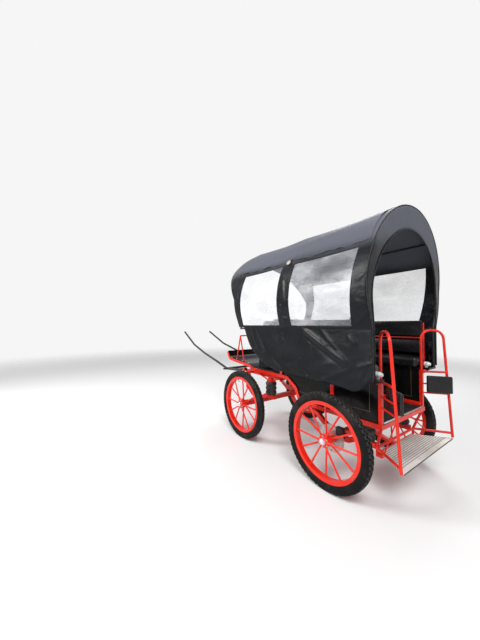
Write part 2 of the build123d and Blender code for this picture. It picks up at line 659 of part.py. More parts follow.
# Grab handles: a tube from the sill up, over and down to the step's outer corner, with cross bars between
def leg_at(z):
    """The point of the left rear leg at a height."""
    share = (GRAB_TOP_Z - z) / (GRAB_TOP_Z - STEP_TOP_Z)
    return tuple(top + share * (foot - top) for top, foot in zip(GRAB_REAR_TOP, GRAB_REAR_FOOT)) + (z,)


GRAB_FOOT_Z = STEP_TOP_Z + SEAT_GAP
grab_route = [(*GRAB_FRONT, LOW_TOP), (*GRAB_FRONT, GRAB_TOP_Z), leg_at(GRAB_TOP_Z), leg_at(GRAB_FOOT_Z)]
with BuildPart() as handrails:
    add(tube(grab_route, GRAB_R, GRAB_BEND))
    add(block((GRAB_FRONT[0] - POST_HALF, GRAB_FRONT[0] + POST_HALF),
              (GRAB_FRONT[1] - POST_HALF, GRAB_FRONT[1] + POST_HALF), (LOW_TOP, GRAB_BAR_Z + POST_HALF)))
    add(tube([(*GRAB_FRONT, GRAB_BAR_Z), leg_at(GRAB_BAR_Z)], GRAB_R - 1))
    for z in GUARD_ZS:
        add(tube([(*GRAB_FRONT, z), leg_at(z)], GUARD_R))
    clamp_x = (GRAB_FRONT[0] - GRAB_CLAMP[0] / 2, GRAB_FRONT[0] + GRAB_CLAMP[0] / 2)
    clamp_y = (GRAB_FRONT[1], SHELF_TAIL_IN + GRAB_CLAMP[0] / 2)
    add(block(clamp_x, clamp_y, (SHELF_Z - GRAB_CLAMP[1], SHELF_Z - SEAT_GAP)))
    mirror(about=Plane.XZ)
keep("handrails", handrails.part)

RAIL_Z = STEP_TOP_Z + STEP_RISE
STEP_CORNER = (STEP_FRONT_X + 14, STEP_FRONT_HALF + 50)
with BuildPart() as step_frame:
    add(tube([(*STEP_CORNER, RAIL_Z), leg_at(RAIL_Z)], STEP_TUBE_R))
    add(tube([(*GRAB_FRONT, LOW_RAIL_Z - RAIL_H / 2), (*STEP_CORNER, RAIL_Z),
              (*STEP_CORNER, STEP_TOP_Z - STEP_T)], STEP_TUBE_R, 20))
    stay_foot = (Vector(*STEP_CORNER, RAIL_Z) * 2 + Vector(*leg_at(RAIL_Z))) / 3
    add(tube([(REAR_X + SILL_D / 2, STAY_Y, LOW_RAIL_Z - RAIL_H / 2), tuple(stay_foot)], STAY_R))
    mirror(about=Plane.XZ)
    add(tube([(*STEP_CORNER, RAIL_Z), (STEP_CORNER[0], -STEP_CORNER[1], RAIL_Z)], STEP_TUBE_R))
    add(block((STEP_FRONT_X - 30, STEP_CORNER[0] + 12), (-STEP_CORNER[1], STEP_CORNER[1]),
              (STEP_TOP_Z - STEP_T - 25, STEP_TOP_Z - STEP_T - SEAT_GAP)))
    add(handrails.part, mode=Mode.SUBTRACT)
    add(body_frame.part, mode=Mode.SUBTRACT)
keep("step_frame", step_frame.part)
keep("step_plate", step_plate.part)

# Padded panels hung inside the grab handles, on the doorway's side of the legs
pad_foot = Vector(*leg_at(GRAB_PAD_Z[0])) - Vector(*GRAB_FRONT, GRAB_PAD_Z[0])
pad_plane = Plane(origin=(*GRAB_FRONT, GRAB_PAD_Z[0]), x_dir=pad_foot, z_dir=(0, 0, 1))
pad_x = (GRAB_PAD_ENDS[0], pad_foot.length + GRAB_PAD_ENDS[1])
with BuildPart() as grab_pads:
    with BuildSketch(pad_plane):
        with Locations(((pad_x[0] + pad_x[1]) / 2, GRAB_R + SEAT_GAP + GRAB_PAD_T / 2)):
            RectangleRounded(pad_x[1] - pad_x[0], GRAB_PAD_T, GRAB_PAD_T / 3)
    extrude(amount=GRAB_PAD_Z[1] - GRAB_PAD_Z[0])
    mirror(about=Plane.XZ)
keep("grab_pads", grab_pads.part)

# Rear lamps on the bench ends
with BuildPart() as rear_lamps:
    for side in (1, -1):
        with BuildSketch(Plane.YZ.offset(LAMP_X)):
            with Locations((side * LAMP_Y, LAMP_Z)):
                Circle(LAMP_R)
        extrude(amount=LAMP_L)
        with BuildSketch(Plane.YZ.offset(LAMP_X)):
            with Locations((side * LAMP_Y, LAMP_Z)):
                Circle(LAMP_R)
        extrude(amount=-LAMP_NOSE, taper=25)
        bracket_y = sorted((side * (LAMP_Y - LAMP_R / 3), side * (LAMP_Y + LAMP_R / 3)))
        add(block((LAMP_X + 5, LAMP_X + 25), bracket_y, (SHELF_Z + SHELF_T + SEAT_GAP, LAMP_Z)))
keep("rear_lamps", rear_lamps.part)

# Dash rail over the footboard: an A on each side and a rein rail between them
with BuildPart() as dash_rail:
    apex = (DASH_X, DASH_Y, DASH_Z)
    for foot_x in (DASH_X - DASH_SPREAD, DASH_X + DASH_SPREAD):
        add(tube([(foot_x, DASH_Y, HIGH_RAIL_Z + 35), apex], BACK_RAIL_R))
    mirror(about=Plane.XZ)
    add(tube([(DASH_X, -DASH_Y, DASH_Z), apex], BACK_RAIL_R))
    add(strip([(FOOT_ROUTE[0][0] - 60, FOOT_ROUTE[0][1])] + FOOT_ROUTE[1:], 2 * RAIL_Y, 200,
              lift=RAIL_H / 2 + 2 * SEAT_GAP + 10 - 100), mode=Mode.SUBTRACT)
keep("dash_rail", dash_rail.part)

# Turntable plates and king pin
with BuildPart() as turntable_upper:
    with BuildSketch(Plane(origin=(WHEELBASE, 0, TURN_Z + TURN_T + SEAT_GAP))):
        Circle(TURN_R)
        Circle(KING_R + SPINDLE_PLAY, mode=Mode.SUBTRACT)
    extrude(amount=TURN_T)
keep("turntable_upper", turntable_upper.part)

with BuildPart() as turntable_lower:
    with BuildSketch(Plane(origin=(WHEELBASE, 0, TURN_Z))):
        Circle(TURN_R)
    extrude(amount=TURN_T)
    with BuildSketch(Plane(origin=(WHEELBASE, 0, TURN_Z))):
        Circle(KING_R)
    extrude(amount=2 * TURN_T + SEAT_GAP)
keep("turntable_lower", turntable_lower.part)

# Forecarriage frame under the turntable, with the shaft crossbar and the arms' hangers
FORE_Z = (TURN_Z - FORE_W, TURN_Z)
with BuildPart() as fore_frame:
    for x in (FORE_REAR_X, WHEELBASE - 20, FORE_FRONT_X - FORE_W):
        add(block((x, x + FORE_W), (-FORE_Y, FORE_Y), FORE_Z))
    for side in (1, -1):
        rail_y = sorted((side * (FORE_Y - FORE_W / 2), side * (FORE_Y + FORE_W / 2)))
        add(block((FORE_REAR_X, FORE_FRONT_X), rail_y, FORE_Z))
        seat_y = sorted((side * (ARM_Y - BELLOW_WAIST_R / 2), side * (ARM_Y + BELLOW_WAIST_R / 2)))
        add(block((FRONT_BELLOW[0] - BELLOW_WAIST_R / 2, FRONT_BELLOW[0] + BELLOW_WAIST_R / 2), seat_y,
                  (FRONT_BELLOW[2] + SEAT_GAP, FORE_Z[0])))
        rod_y = side * (FORE_Y + FORE_W / 2 + ROD_R - 2)
        add(tube([(x, rod_y, z) for x, z in ROD_ROUTE], ROD_R, 30))
        add(tube([(FRONT_BELLOW[0], side * ARM_Y, FRONT_BELLOW[2] + SEAT_GAP),
                  (FRONT_BELLOW[0], side * ARM_Y, FRONT_BELLOW[2] + SEAT_GAP + BELLOW_SEAT)], BELLOW_WAIST_R))
        add(eye_hanger(FRONT_EYE, side, FORE_Z[0]))
        add(block((FRONT_EYE[0] - HANGER_HALF, FRONT_EYE[0] + HANGER_HALF),
                  sorted((side * (ARM_Y - HANGER_OUT), side * (ARM_Y + HANGER_OUT))),
                  (FORE_Z[0] - HANGER_T, FORE_Z[0])))
        pivot_y = SHAFT_PIVOT[1]
        add(tube([(YOKE_X, side * FORE_Y, YOKE_Z), (YOKE_X, side * (pivot_y + EAR_REACH), YOKE_Z)], YOKE_R))
        for ear_y in (pivot_y - EAR_REACH, pivot_y + EAR_REACH - EAR_T):
            with BuildSketch(Plane.XZ.offset(-side * ear_y)):
                with BuildLine():
                    Polyline((YOKE_X - YOKE_R, YOKE_Z), (YOKE_X + YOKE_R, YOKE_Z),
                             (SHAFT_PIVOT[0] + EAR_R, SHAFT_PIVOT[2]))
                    ThreePointArc((SHAFT_PIVOT[0] + EAR_R, SHAFT_PIVOT[2]),
                                  (SHAFT_PIVOT[0], SHAFT_PIVOT[2] + EAR_R),
                                  (SHAFT_PIVOT[0] - EAR_R, SHAFT_PIVOT[2]))
                    Line((SHAFT_PIVOT[0] - EAR_R, SHAFT_PIVOT[2]), (YOKE_X - YOKE_R, YOKE_Z))
                make_face()
            extrude(amount=-side * EAR_T)
        add(tube([(SHAFT_PIVOT[0], side * (pivot_y - EAR_REACH), SHAFT_PIVOT[2]),
                  (SHAFT_PIVOT[0], side * (pivot_y + EAR_REACH), SHAFT_PIVOT[2])], PIVOT_R))
keep("fore_frame", fore_frame.part)

# Trailing arms with the air bellows on their tails
front_seat_z = WHEEL_R + AXLE_SIZE / 2 + ARM_H / 2 + SEAT_GAP
front_tail_z = FRONT_BELLOW[1] - SEAT_GAP - ARM_H / 2
rear_seat_z = WHEEL_R - AXLE_SIZE / 2 - ARM_H / 2 - SEAT_GAP
rear_tail_z = REAR_BELLOW[1] - SEAT_GAP - ARM_H / 2
ARMS = [
    ("front_arms", [FRONT_EYE, (WHEELBASE + 130, front_seat_z), (WHEELBASE - 60, front_seat_z),
                    (WHEELBASE - 160, front_tail_z), (FRONT_BELLOW[0] - 85, front_tail_z)]),
    ("rear_arms", [REAR_EYE, (330, 560), (110, rear_seat_z), (-50, rear_seat_z), (-140, rear_tail_z),
                   (REAR_BELLOW[0] - 85, rear_tail_z)]),
]
for name, route in ARMS:
    with BuildPart() as arms:
        add(strip(route, ARM_W, ARM_H, y=ARM_Y, bend=ARM_BEND))
        mirror(about=Plane.XZ)
    keep(name, arms.part)

for name, (x, low, high) in (("front_bellows", FRONT_BELLOW), ("rear_bellows", REAR_BELLOW)):
    with BuildPart() as bellows:
        with BuildSketch(Plane.XZ.offset(-ARM_Y)):
            with BuildLine():
                step = (high - low) / 6
                for fold in range(3):
                    start = low + 2 * fold * step
                    ThreePointArc((x + BELLOW_WAIST_R, start), (x + BELLOW_R, start + step),
                                  (x + BELLOW_WAIST_R, start + 2 * step))
                Polyline((x + BELLOW_WAIST_R, high), (x, high), (x, low), (x + BELLOW_WAIST_R, low))
            make_face()
        revolve(axis=Axis((x, ARM_Y, 0), (0, 0, 1)))
        mirror(about=Plane.XZ)
    keep(name, bellows.part)

# Shafts, joined by the splinter bar
with BuildPart() as shaft_pair:
    add(tube(SHAFT_ROUTE, SHAFT_R, SHAFT_BEND))
    pivot_x, pivot_y, pivot_z = SHAFT_PIVOT
    add(tube([(pivot_x, pivot_y - SHAFT_R, pivot_z), (pivot_x, pivot_y + SHAFT_R, pivot_z)], EYE_R))
    pivot_bore = tube([(pivot_x, pivot_y - EYE_R, pivot_z), (pivot_x, pivot_y + EYE_R, pivot_z)],
                      PIVOT_R + SPINDLE_PLAY)
    add(pivot_bore, mode=Mode.SUBTRACT)
    mirror(about=Plane.XZ)
    add(tube([(BAR_X, BAR_END - BAR_HALF, BAR_Z), (BAR_X, BAR_HALF - BAR_END, BAR_Z)], SHAFT_R))
    add(tube([(BAR_X, -BAR_HALF, BAR_Z), (BAR_X, BAR_HALF, BAR_Z)], BAR_END_R))
keep("shaft_pair", shaft_pair.part)

# The whole is set over the middle of its own box and written piece by piece
whole = Compound(children=[part.moved(Location()) for part in made.values()]).bounding_box()
middle = (whole.min.X + whole.max.X) / 2
print("shift of X", -middle, "box", whole.size, "low", whole.min.Z)
os.makedirs("parts", exist_ok=True)
for name, part in made.items():
    placed = part.moved(Location((-middle, 0, 0)))
    placed.label = name
    export_step(placed, f"parts/{name}.step")
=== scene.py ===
import math
import bmesh
import bpy
from mathutils import Matrix, Vector, noise


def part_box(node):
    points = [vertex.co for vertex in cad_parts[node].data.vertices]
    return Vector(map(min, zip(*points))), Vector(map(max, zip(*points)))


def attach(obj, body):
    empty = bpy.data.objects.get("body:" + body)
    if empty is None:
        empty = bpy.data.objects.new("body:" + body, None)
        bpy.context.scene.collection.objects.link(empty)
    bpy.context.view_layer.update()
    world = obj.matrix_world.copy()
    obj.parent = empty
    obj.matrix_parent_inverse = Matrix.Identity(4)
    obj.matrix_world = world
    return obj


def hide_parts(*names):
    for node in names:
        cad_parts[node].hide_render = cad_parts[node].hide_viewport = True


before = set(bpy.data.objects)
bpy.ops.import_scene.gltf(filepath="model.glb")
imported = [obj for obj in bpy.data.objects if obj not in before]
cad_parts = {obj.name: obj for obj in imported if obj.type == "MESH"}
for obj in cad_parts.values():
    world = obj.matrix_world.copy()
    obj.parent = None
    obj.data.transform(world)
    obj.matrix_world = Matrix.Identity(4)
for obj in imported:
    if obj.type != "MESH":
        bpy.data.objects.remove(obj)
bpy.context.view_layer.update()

# Road wheels: a rolled steel rim welded to twelve bar spokes, which run to a flanged hub. The wheel is sprayed
# vermilion as one piece; the hub's outer flange carries six zinc nuts and the rim a rubber valve.


class Wire:
    """A shader socket that takes part in plain arithmetic; each operation adds its Math node."""

    def __init__(self, tree, socket=None):
        self.tree = tree
        self.socket = socket

    def node(self, kind, settings=(), sockets=(), output=0):
        made = self.tree.nodes.new(kind)
        for name, value in dict(settings).items():
            setattr(made, name, value)
        for name, value in dict(sockets).items():
            if isinstance(value, Wire):
                self.tree.links.new(value.socket, made.inputs[name])
            else:
                made.inputs[name].default_value = value
        return Wire(self.tree, made.outputs[output])

    def math(self, operation, *others):
        return self.node("ShaderNodeMath", {"operation": operation}, enumerate((self, *others)))

    def __add__(self, other):
        return self.math("ADD", other)

    def __sub__(self, other):
        return self.math("SUBTRACT", other)

    def __rsub__(self, other):
        return self * -1 + other

    def __mul__(self, other):
        return self.math("MULTIPLY", other)

    def __truediv__(self, other):
        return self.math("DIVIDE", other)

    def size(self):
        return self.math("ABSOLUTE")

    def wave(self, pitch):
        """A ripple between 0 and 1 that repeats at a pitch."""
        return (self * (2 * math.pi / pitch)).math("SINE") * 0.5 + 0.5

    def step(self, low, high):
        """A soft step from 0 at low to 1 at high."""
        return self.node("ShaderNodeMapRange", {"interpolation_type": "SMOOTHSTEP"},
                         {"Value": self, "From Min": low, "From Max": high})

    def mix(self, below, above):
        """Goes from one colour to another as this value goes from 0 to 1."""
        below, above = (tone if isinstance(tone, Wire) else (*tone, 1) for tone in (below, above))
        return self.node("ShaderNodeMix", {"data_type": "RGBA"}, {0: self, 6: below, 7: above}, 2)

    def noise(self, scale, detail=3.0, roughness=0.5, stretch=(1, 1, 1)):
        """Cloudy noise at a number of blots a metre, which a stretch makes longer along an axis."""
        spread = self.node("ShaderNodeMapping", (), {"Vector": self, "Scale": [1 / s for s in stretch]})
        return self.node("ShaderNodeTexNoise", {"noise_dimensions": "3D"},
                         {"Vector": spread, "Scale": scale, "Detail": detail, "Roughness": roughness})

    def axis(self, letter):
        """One coordinate of this position."""
        return self.node("ShaderNodeSeparateXYZ", (), {"Vector": self}, letter)

    def dents(self, depth):
        """A normal from this height, in metres at a depth of 1."""
        return self.node("ShaderNodeBump", (), {"Height": self, "Strength": 1.0, "Distance": depth})


class Finish:
    """A material: its shader, the object's coordinates and the constants on the shader's sockets."""

    def __init__(self, name, **constants):
        self.material = bpy.data.materials.new(name)
        self.material.use_nodes = True
        self.tree = self.material.node_tree
        self.shader = self.tree.nodes["Principled BSDF"]
        for socket, value in constants.items():
            self.shader.inputs[socket.replace("_", " ")].default_value = value
        self.where = Wire(self.tree).node("ShaderNodeTexCoord", output="Object")

    def paint(self, **wires):
        for socket, wire in wires.items():
            self.tree.links.new(wire.socket, self.shader.inputs[socket.replace("_", " ")])
        return self


def gloss_paint(name, colour, dusty, rough):
    """Sprayed paint with a little orange peel, paler dust towards the ground and duller patches."""
    paint = Finish(name, Coat_Roughness=0.12, Coat_Weight=0.10, Specular_IOR_Level=0.32)
    blots = paint.where.noise(9, 4)
    dust = (1 - paint.where.axis("Z").step(0.1, 1.0)) * blots.step(0.45, 0.78) * 0.22
    dark, bright = ([channel * share for channel in colour] for share in (0.86, 1.08))
    tone = paint.where.noise(2.5, 2).step(0.3, 0.7).mix(dark, bright)
    return paint.paint(Base_Color=dust.mix(tone, dusty), Roughness=blots * 0.18 + dust * 0.5 + rough,
                       Normal=(paint.where.noise(420, 2) * 0.7 + blots * 0.6).dents(0.0004))


def blotchy(name, scale, steps, dark, pale, rough, detail=4, **constants):
    """A material in two tones with cloudy edges, whose roughness rises a little with the paler one."""
    finish = Finish(name, **constants)
    blots = finish.where.noise(scale, detail)
    return finish.paint(Base_Color=blots.step(*steps).mix(dark, pale), Roughness=blots * rough[0] + rough[1])


red_paint = gloss_paint("red_paint", (0.72, 0.016, 0.005), (0.45, 0.14, 0.08), 0.24)


def dress(finish, *nodes):
    """Gives carried-over nodes a finish."""
    for node in nodes:
        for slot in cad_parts[node].material_slots:
            slot.material = finish.material


def add_object(name, data):
    """Adds an object to the scene."""
    made = bpy.data.objects.new(name, data)
    bpy.context.scene.collection.objects.link(made)
    return made


def put(name, shape, finish, slot, *stands_for, body="carriage", crease=35):
    """Makes a finished mesh a piece of the object, which rides on a body and may stand for nodes."""
    mesh = bpy.data.meshes.new(name)
    shape.to_mesh(mesh)
    shape.free()
    mesh.shade_smooth()
    mesh.set_sharp_from_angle(angle=math.radians(crease))
    mesh.materials.append(finish.material)
    piece = add_object(name, mesh)
    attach(piece, body)
    if stands_for:
        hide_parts(*stands_for)
    return piece


def middle(node):
    """The middle of a node's box."""
    low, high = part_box(node)
    return (Vector(low) + Vector(high)) / 2


def ring(shape, steps, centre=(0, 0, 0), start=(0, 0, 0)):
    """Copies a mesh, or what was added since a count of it, evenly round a wheel's axis."""
    added = list(shape.verts)[start[0]:] + list(shape.edges)[start[1]:] + list(shape.faces)[start[2]:]
    bmesh.ops.spin(shape, geom=added, cent=centre, axis=(0, 1, 0), angle=2 * math.pi * (steps - 1) / steps,
                   steps=steps - 1, use_duplicate=True)


def nut(shape, across, height, place, facing):
    """A hexagon nut or bolt head with a washer under it."""
    facing = Vector(facing)
    seat = Matrix.Translation(place) @ Vector((0, 0, 1)).rotation_difference(facing).to_matrix().to_4x4()
    bmesh.ops.create_cone(shape, cap_ends=True, segments=16, radius1=across * 0.72, radius2=across * 0.7,
                          depth=height * 0.25, matrix=seat @ Matrix.Translation((0, 0, height * 0.125)))
    head = bmesh.ops.create_cone(shape, cap_ends=True, segments=6, radius1=across * 0.577, radius2=across * 0.577,
                                 depth=height * 0.8, matrix=seat @ Matrix.Translation((0, 0, height * 0.6)))
    rim = {edge for vert in head["verts"] for edge in vert.link_edges
           if all((v.co - place).dot(facing) > height * 0.9 for v in edge.verts)}
    bmesh.ops.bevel(shape, geom=list(rim), offset=across * 0.08, segments=2, profile=0.5, affect="EDGES",
                    material=-1)


zinc = blotchy("zinc_plated_steel", 60, (0.3, 0.8), (0.42, 0.42, 0.44), (0.66, 0.65, 0.62), (0.3, 0.22),
               Metallic=1.0)

stem = Finish("valve_rubber", Specular_IOR_Level=0.3)
wear = stem.where.noise(90, 3)
stem.paint(Base_Color=wear.mix((0.010, 0.010, 0.011), (0.035, 0.034, 0.033)), Roughness=wear * 0.2 + 0.5)

WHEELS = [("rear_left", 1), ("rear_right", -1), ("front_left", 1), ("front_right", -1)]
NUT_CIRCLE, FLANGE_FACE = 0.049, 0.032
# Radius and the distances from the hub where each part of the valve starts and ends
VALVE = [(0.0055, 0.322, 0.3445), (0.0036, 0.300, 0.324), (0.0046, 0.292, 0.303)]
for corner, side in WHEELS:
    dress(red_paint, "wheel_" + corner)
    hub = middle("tyre_" + corner)
    nuts = bmesh.new()
    nut(nuts, 0.011, 0.007, hub + Vector((0, side * FLANGE_FACE, NUT_CIRCLE)), (0, side, 0))
    ring(nuts, 6, hub)
    put("hub_nuts_" + corner, nuts, zinc, "hub_chrome", body="wheel_" + corner)
    valve = bmesh.new()
    for radius, low, high in VALVE:
        bmesh.ops.create_cone(valve, cap_ends=True, segments=14, radius1=radius, radius2=radius * 0.92,
                              depth=high - low, matrix=Matrix.Translation(hub + Vector((0, 0, (low + high) / 2))))
    bmesh.ops.rotate(valve, cent=hub, matrix=Matrix.Rotation(math.radians(15), 3, "Y"), verts=valve.verts)
    put("valve_" + corner, valve, stem, "tyre_rubber", body="wheel_" + corner)

# Tyres: black moulded rubber with a block tread. A ring of square shoulder lugs wraps over each edge of the
# tread, with two staggered rows of smaller blocks between them and moulded ribs on the sidewalls. The blocks'
# tops are painted paler as a painted highlight and the gaps near black as painted shade, so they stand out from the
# tyre's rounded section.
SECTION_R, SECTION_WIDE, SECTION_TALL, SECTION_POWER = 0.400, 0.0402, 0.0436, 3.8
rubber = Finish("tyre_rubber", Specular_IOR_Level=0.14)
scuff = rubber.where.noise(30, 5)
grime = rubber.where.noise(7, 3).step(0.45, 0.7)
rear_hub, front_hub = middle("tyre_rear_left"), middle("tyre_front_left")
along = rubber.where.axis("X") - rear_hub.x
along = along - along.step(0.6, 0.75) * (front_hub.x - rear_hub.x)
rise = rubber.where.axis("Z") - rear_hub.z
crown = ((along * along + rise * rise).math("SQRT") - SECTION_R).math("MAXIMUM", 0.0) / SECTION_TALL
across = (rubber.where.axis("Y").size() - rear_hub.y).size() / SECTION_WIDE
# Painted light: on the blocks' tops the colour turns pale grey as a painted highlight, and in the gaps between them
# it is near black as painted shade.
tops = (across.math("POWER", SECTION_POWER) + crown.math("POWER", SECTION_POWER)).step(1.05, 1.40)
tread_highlight_and_shade = tops.mix((0.0030, 0.0030, 0.0032), (0.034, 0.032, 0.030))
rubber.paint(Base_Color=(grime * 0.30).mix(tread_highlight_and_shade, (0.052, 0.045, 0.037)), Roughness=scuff * 0.25 + 0.52,
             Normal=(rubber.where.noise(900, 2) * 0.5 + scuff).dents(0.0006))


def lug(shape, points, half, depth):
    """A tapered tread block that bends over the tyre along (y, radius) points."""
    inner = [shape.verts.new((-half, y, r)) for y, r in points]
    line = [shape.edges.new(pair) for pair in zip(inner, inner[1:])]
    wall = bmesh.ops.extrude_edge_only(shape, edges=line)["geom"]
    bmesh.ops.translate(shape, verts=[g for g in wall if isinstance(g, bmesh.types.BMVert)], vec=(2 * half, 0, 0))
    sheet = [g for g in wall if isinstance(g, bmesh.types.BMFace)]
    raised = bmesh.ops.extrude_face_region(shape, geom=sheet)
    top = [g for g in raised["geom"] if isinstance(g, bmesh.types.BMVert)]
    mid_y = sum(p[0] for p in points) / len(points)
    for vert in top:
        out = Vector((0, vert.co.y * 0.35, vert.co.z)).normalized()
        vert.co += out * depth
        vert.co.x *= 0.86
        vert.co.y = mid_y + (vert.co.y - mid_y) * 0.95


def lathe(shape, profile, steps, closed=False):
    """Spins an outline of (y, radius) points right round the wheel's axis."""
    verts = [shape.verts.new((0, y, r)) for y, r in profile]
    edges = [shape.edges.new(pair) for pair in zip(verts, verts[1:] + verts[:1] if closed else verts[1:])]
    bmesh.ops.spin(shape, geom=verts + edges, cent=(0, 0, 0), axis=(0, 1, 0), angle=2 * math.pi, steps=steps,
                   use_merge=True)


def set_on(shape, hub, side):
    """Turns a wheel's part to face outward on its side and moves it from the origin to its hub."""
    bmesh.ops.recalc_face_normals(shape, faces=shape.faces)
    turn = Matrix.Rotation(0 if side > 0 else math.pi, 3, "Z")
    bmesh.ops.rotate(shape, cent=(0, 0, 0), matrix=turn, verts=shape.verts)
    bmesh.ops.translate(shape, vec=hub, verts=shape.verts)


BLOCKS = 60


def tyre_mesh(hub, side):
    """One tyre about a hub centre, its tread blocks included."""
    shape = bmesh.new()
    half_pitch = Matrix.Rotation(math.pi / BLOCKS, 3, "Y")
    lug(shape, [(0.0385, 0.4165), (0.0365, 0.4285), (0.031, 0.4375), (0.020, 0.4412)], 0.0165, 0.0060)
    ring(shape, BLOCKS)
    start = len(shape.verts), len(shape.edges), len(shape.faces)
    lug(shape, [(0.016, 0.4418), (0.0025, 0.4430)], 0.0130, 0.0058)
    bmesh.ops.rotate(shape, cent=(0, 0, 0), matrix=half_pitch, verts=list(shape.verts)[start[0]:])
    ring(shape, BLOCKS, start=start)
    twin = bmesh.ops.duplicate(shape, geom=shape.verts[:] + shape.edges[:] + shape.faces[:])
    other = [g for g in twin["geom"] if isinstance(g, bmesh.types.BMVert)]
    bmesh.ops.scale(shape, vec=(1, -1, 1), verts=other)
    bmesh.ops.rotate(shape, cent=(0, 0, 0), matrix=half_pitch, verts=other)
    profile = [(0.0217, 0.3686), (0.0217, 0.3543), (-0.0217, 0.3543), (-0.0217, 0.3686), (-0.0300, 0.3686),
               (-0.0345, 0.3760), (-0.0352, 0.3790), (-0.0372, 0.3800), (-0.0392, 0.3920), (-0.0402, 0.3935),
               (-0.0398, 0.4050), (-0.0394, 0.4170), (-0.0372, 0.4300), (-0.0310, 0.4385), (-0.0200, 0.4420),
               (0.0, 0.4436)]
    profile += [(-y, r) for y, r in reversed(profile[4:-1])]
    lathe(shape, profile, 90, closed=True)
    set_on(shape, hub, side)
    return shape


for corner, side in WHEELS:
    tyre = tyre_mesh(middle("tyre_" + corner), side)
    put("tyre_" + corner + "_tread", tyre, rubber, "tyre_rubber", "tyre_" + corner, body="wheel_" + corner)

# Hub caps: pressed steel caps, chromed and domed, with a small button in the middle, pushed over each hub's end.
chrome = blotchy("hub_chrome", 140, (0.35, 0.7), (0.62, 0.62, 0.64), (0.80, 0.80, 0.81), (0.2, 0.12), Metallic=1.0)
CAP = [(0.0422, 0.0), (0.0420, 0.0300), (0.0425, 0.0313), (0.0440, 0.0313), (0.0446, 0.0296), (0.0530, 0.0282),
       (0.0572, 0.0240), (0.0585, 0.0175), (0.0580, 0.0120), (0.0598, 0.0095), (0.0605, 0.0)]
for corner, side in WHEELS:
    cap = bmesh.new()
    lathe(cap, CAP, 40)
    bmesh.ops.remove_doubles(cap, verts=cap.verts, dist=1e-6)
    set_on(cap, middle("tyre_" + corner), side)
    put("hub_cap_" + corner + "_pressing", cap, chrome, "hub_chrome", "hub_cap_" + corner, body="wheel_" + corner)

# Axles and brakes: square steel axle beams and trailing arms, sprayed vermilion, with turned spindles. Each rear
# hub carries a ground steel disc, and a black cast caliper grips it from a bracket on the beam.
black_steel = gloss_paint("black_painted_steel", (0.010, 0.010, 0.011), (0.07, 0.06, 0.05), 0.28)
dress(red_paint, "rear_axle", "front_axle", "rear_arms", "front_arms")
dress(black_steel, "brake_calipers")
disc_steel = blotchy("disc_steel", 35, (0.4, 0.75), (0.50, 0.49, 0.48), (0.36, 0.26, 0.19), (0.3, 0.25),
                     Metallic=1.0)
dress(disc_steel, "brake_disc_rear_left", "brake_disc_rear_right")

# Chassis: square steel tube and flat bar, welded and sprayed vermilion, with the side rails swept up over the
# front wheels. The floor is a bent sheet with a ribbed rubber mat, between two low sills, and a light alloy nosing
# covers its rear edge.
dress(red_paint, "body_frame")
matting = Finish("floor_mat", Specular_IOR_Level=0.25)
grit = matting.where.noise(18, 4)
ribs = matting.where.axis("Y").wave(0.009)
matting.paint(Base_Color=grit.step(0.45, 0.75).mix((0.010, 0.010, 0.011), (0.040, 0.036, 0.031)),
              Roughness=grit * 0.3 + 0.5, Normal=(ribs + grit * 0.3).dents(0.0012))
dress(matting, "floor_panel")
alloy = Finish("mill_aluminium", Metallic=1.0)
smear = alloy.where.noise(16, 4, stretch=(1, 6, 1))
alloy.paint(Base_Color=smear.step(0.3, 0.75).mix((0.60, 0.60, 0.59), (0.78, 0.78, 0.76)),
            Roughness=smear * 0.25 + 0.3, Normal=smear.dents(0.0006))


def bar(shape, low, high, bevel=0.0, segments=2):
    """A straight bar between two corners, with its edges eased."""
    low, high = Vector(low), Vector(high)
    spread = Matrix.Translation((low + high) / 2) @ Matrix.Diagonal((*(high - low), 1))
    made = bmesh.ops.create_cube(shape, size=1, matrix=spread)
    if bevel:
        edges = list({e for v in made["verts"] for e in v.link_edges})
        bmesh.ops.bevel(shape, geom=edges, offset=bevel, segments=segments, profile=0.5, affect="EDGES",
                        material=-1)


floor_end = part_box("floor_panel")[0][0]
FLOOR_TOP, FLOOR_HALF = 0.6873, 0.404
SILL_INNER, SILL_LONG, SILL_TALL = 0.384, 0.828, 0.040
NOSING_LIP, NOSING_T = 0.0036, 0.0032
nosing = bmesh.new()
bar(nosing, (floor_end - NOSING_LIP, -FLOOR_HALF, FLOOR_TOP - 0.0050),
    (floor_end - 0.0008, FLOOR_HALF, FLOOR_TOP + NOSING_T), 0.0008)
bar(nosing, (floor_end - NOSING_LIP, -FLOOR_HALF, FLOOR_TOP + 0.0003),
    (floor_end + 0.008, FLOOR_HALF, FLOOR_TOP + NOSING_T), 0.0010)
put("floor_nosing", nosing, alloy, "tread_aluminium")
sills = bmesh.new()
for side in (1, -1):
    near, far = sorted((side * SILL_INNER, side * 0.4036))
    bar(sills, (floor_end + 0.012, near, FLOOR_TOP + 0.0002),
        (floor_end + 0.012 + SILL_LONG, far, FLOOR_TOP + SILL_TALL), 0.0030)
put("floor_sills", sills, red_paint, "red_paint")

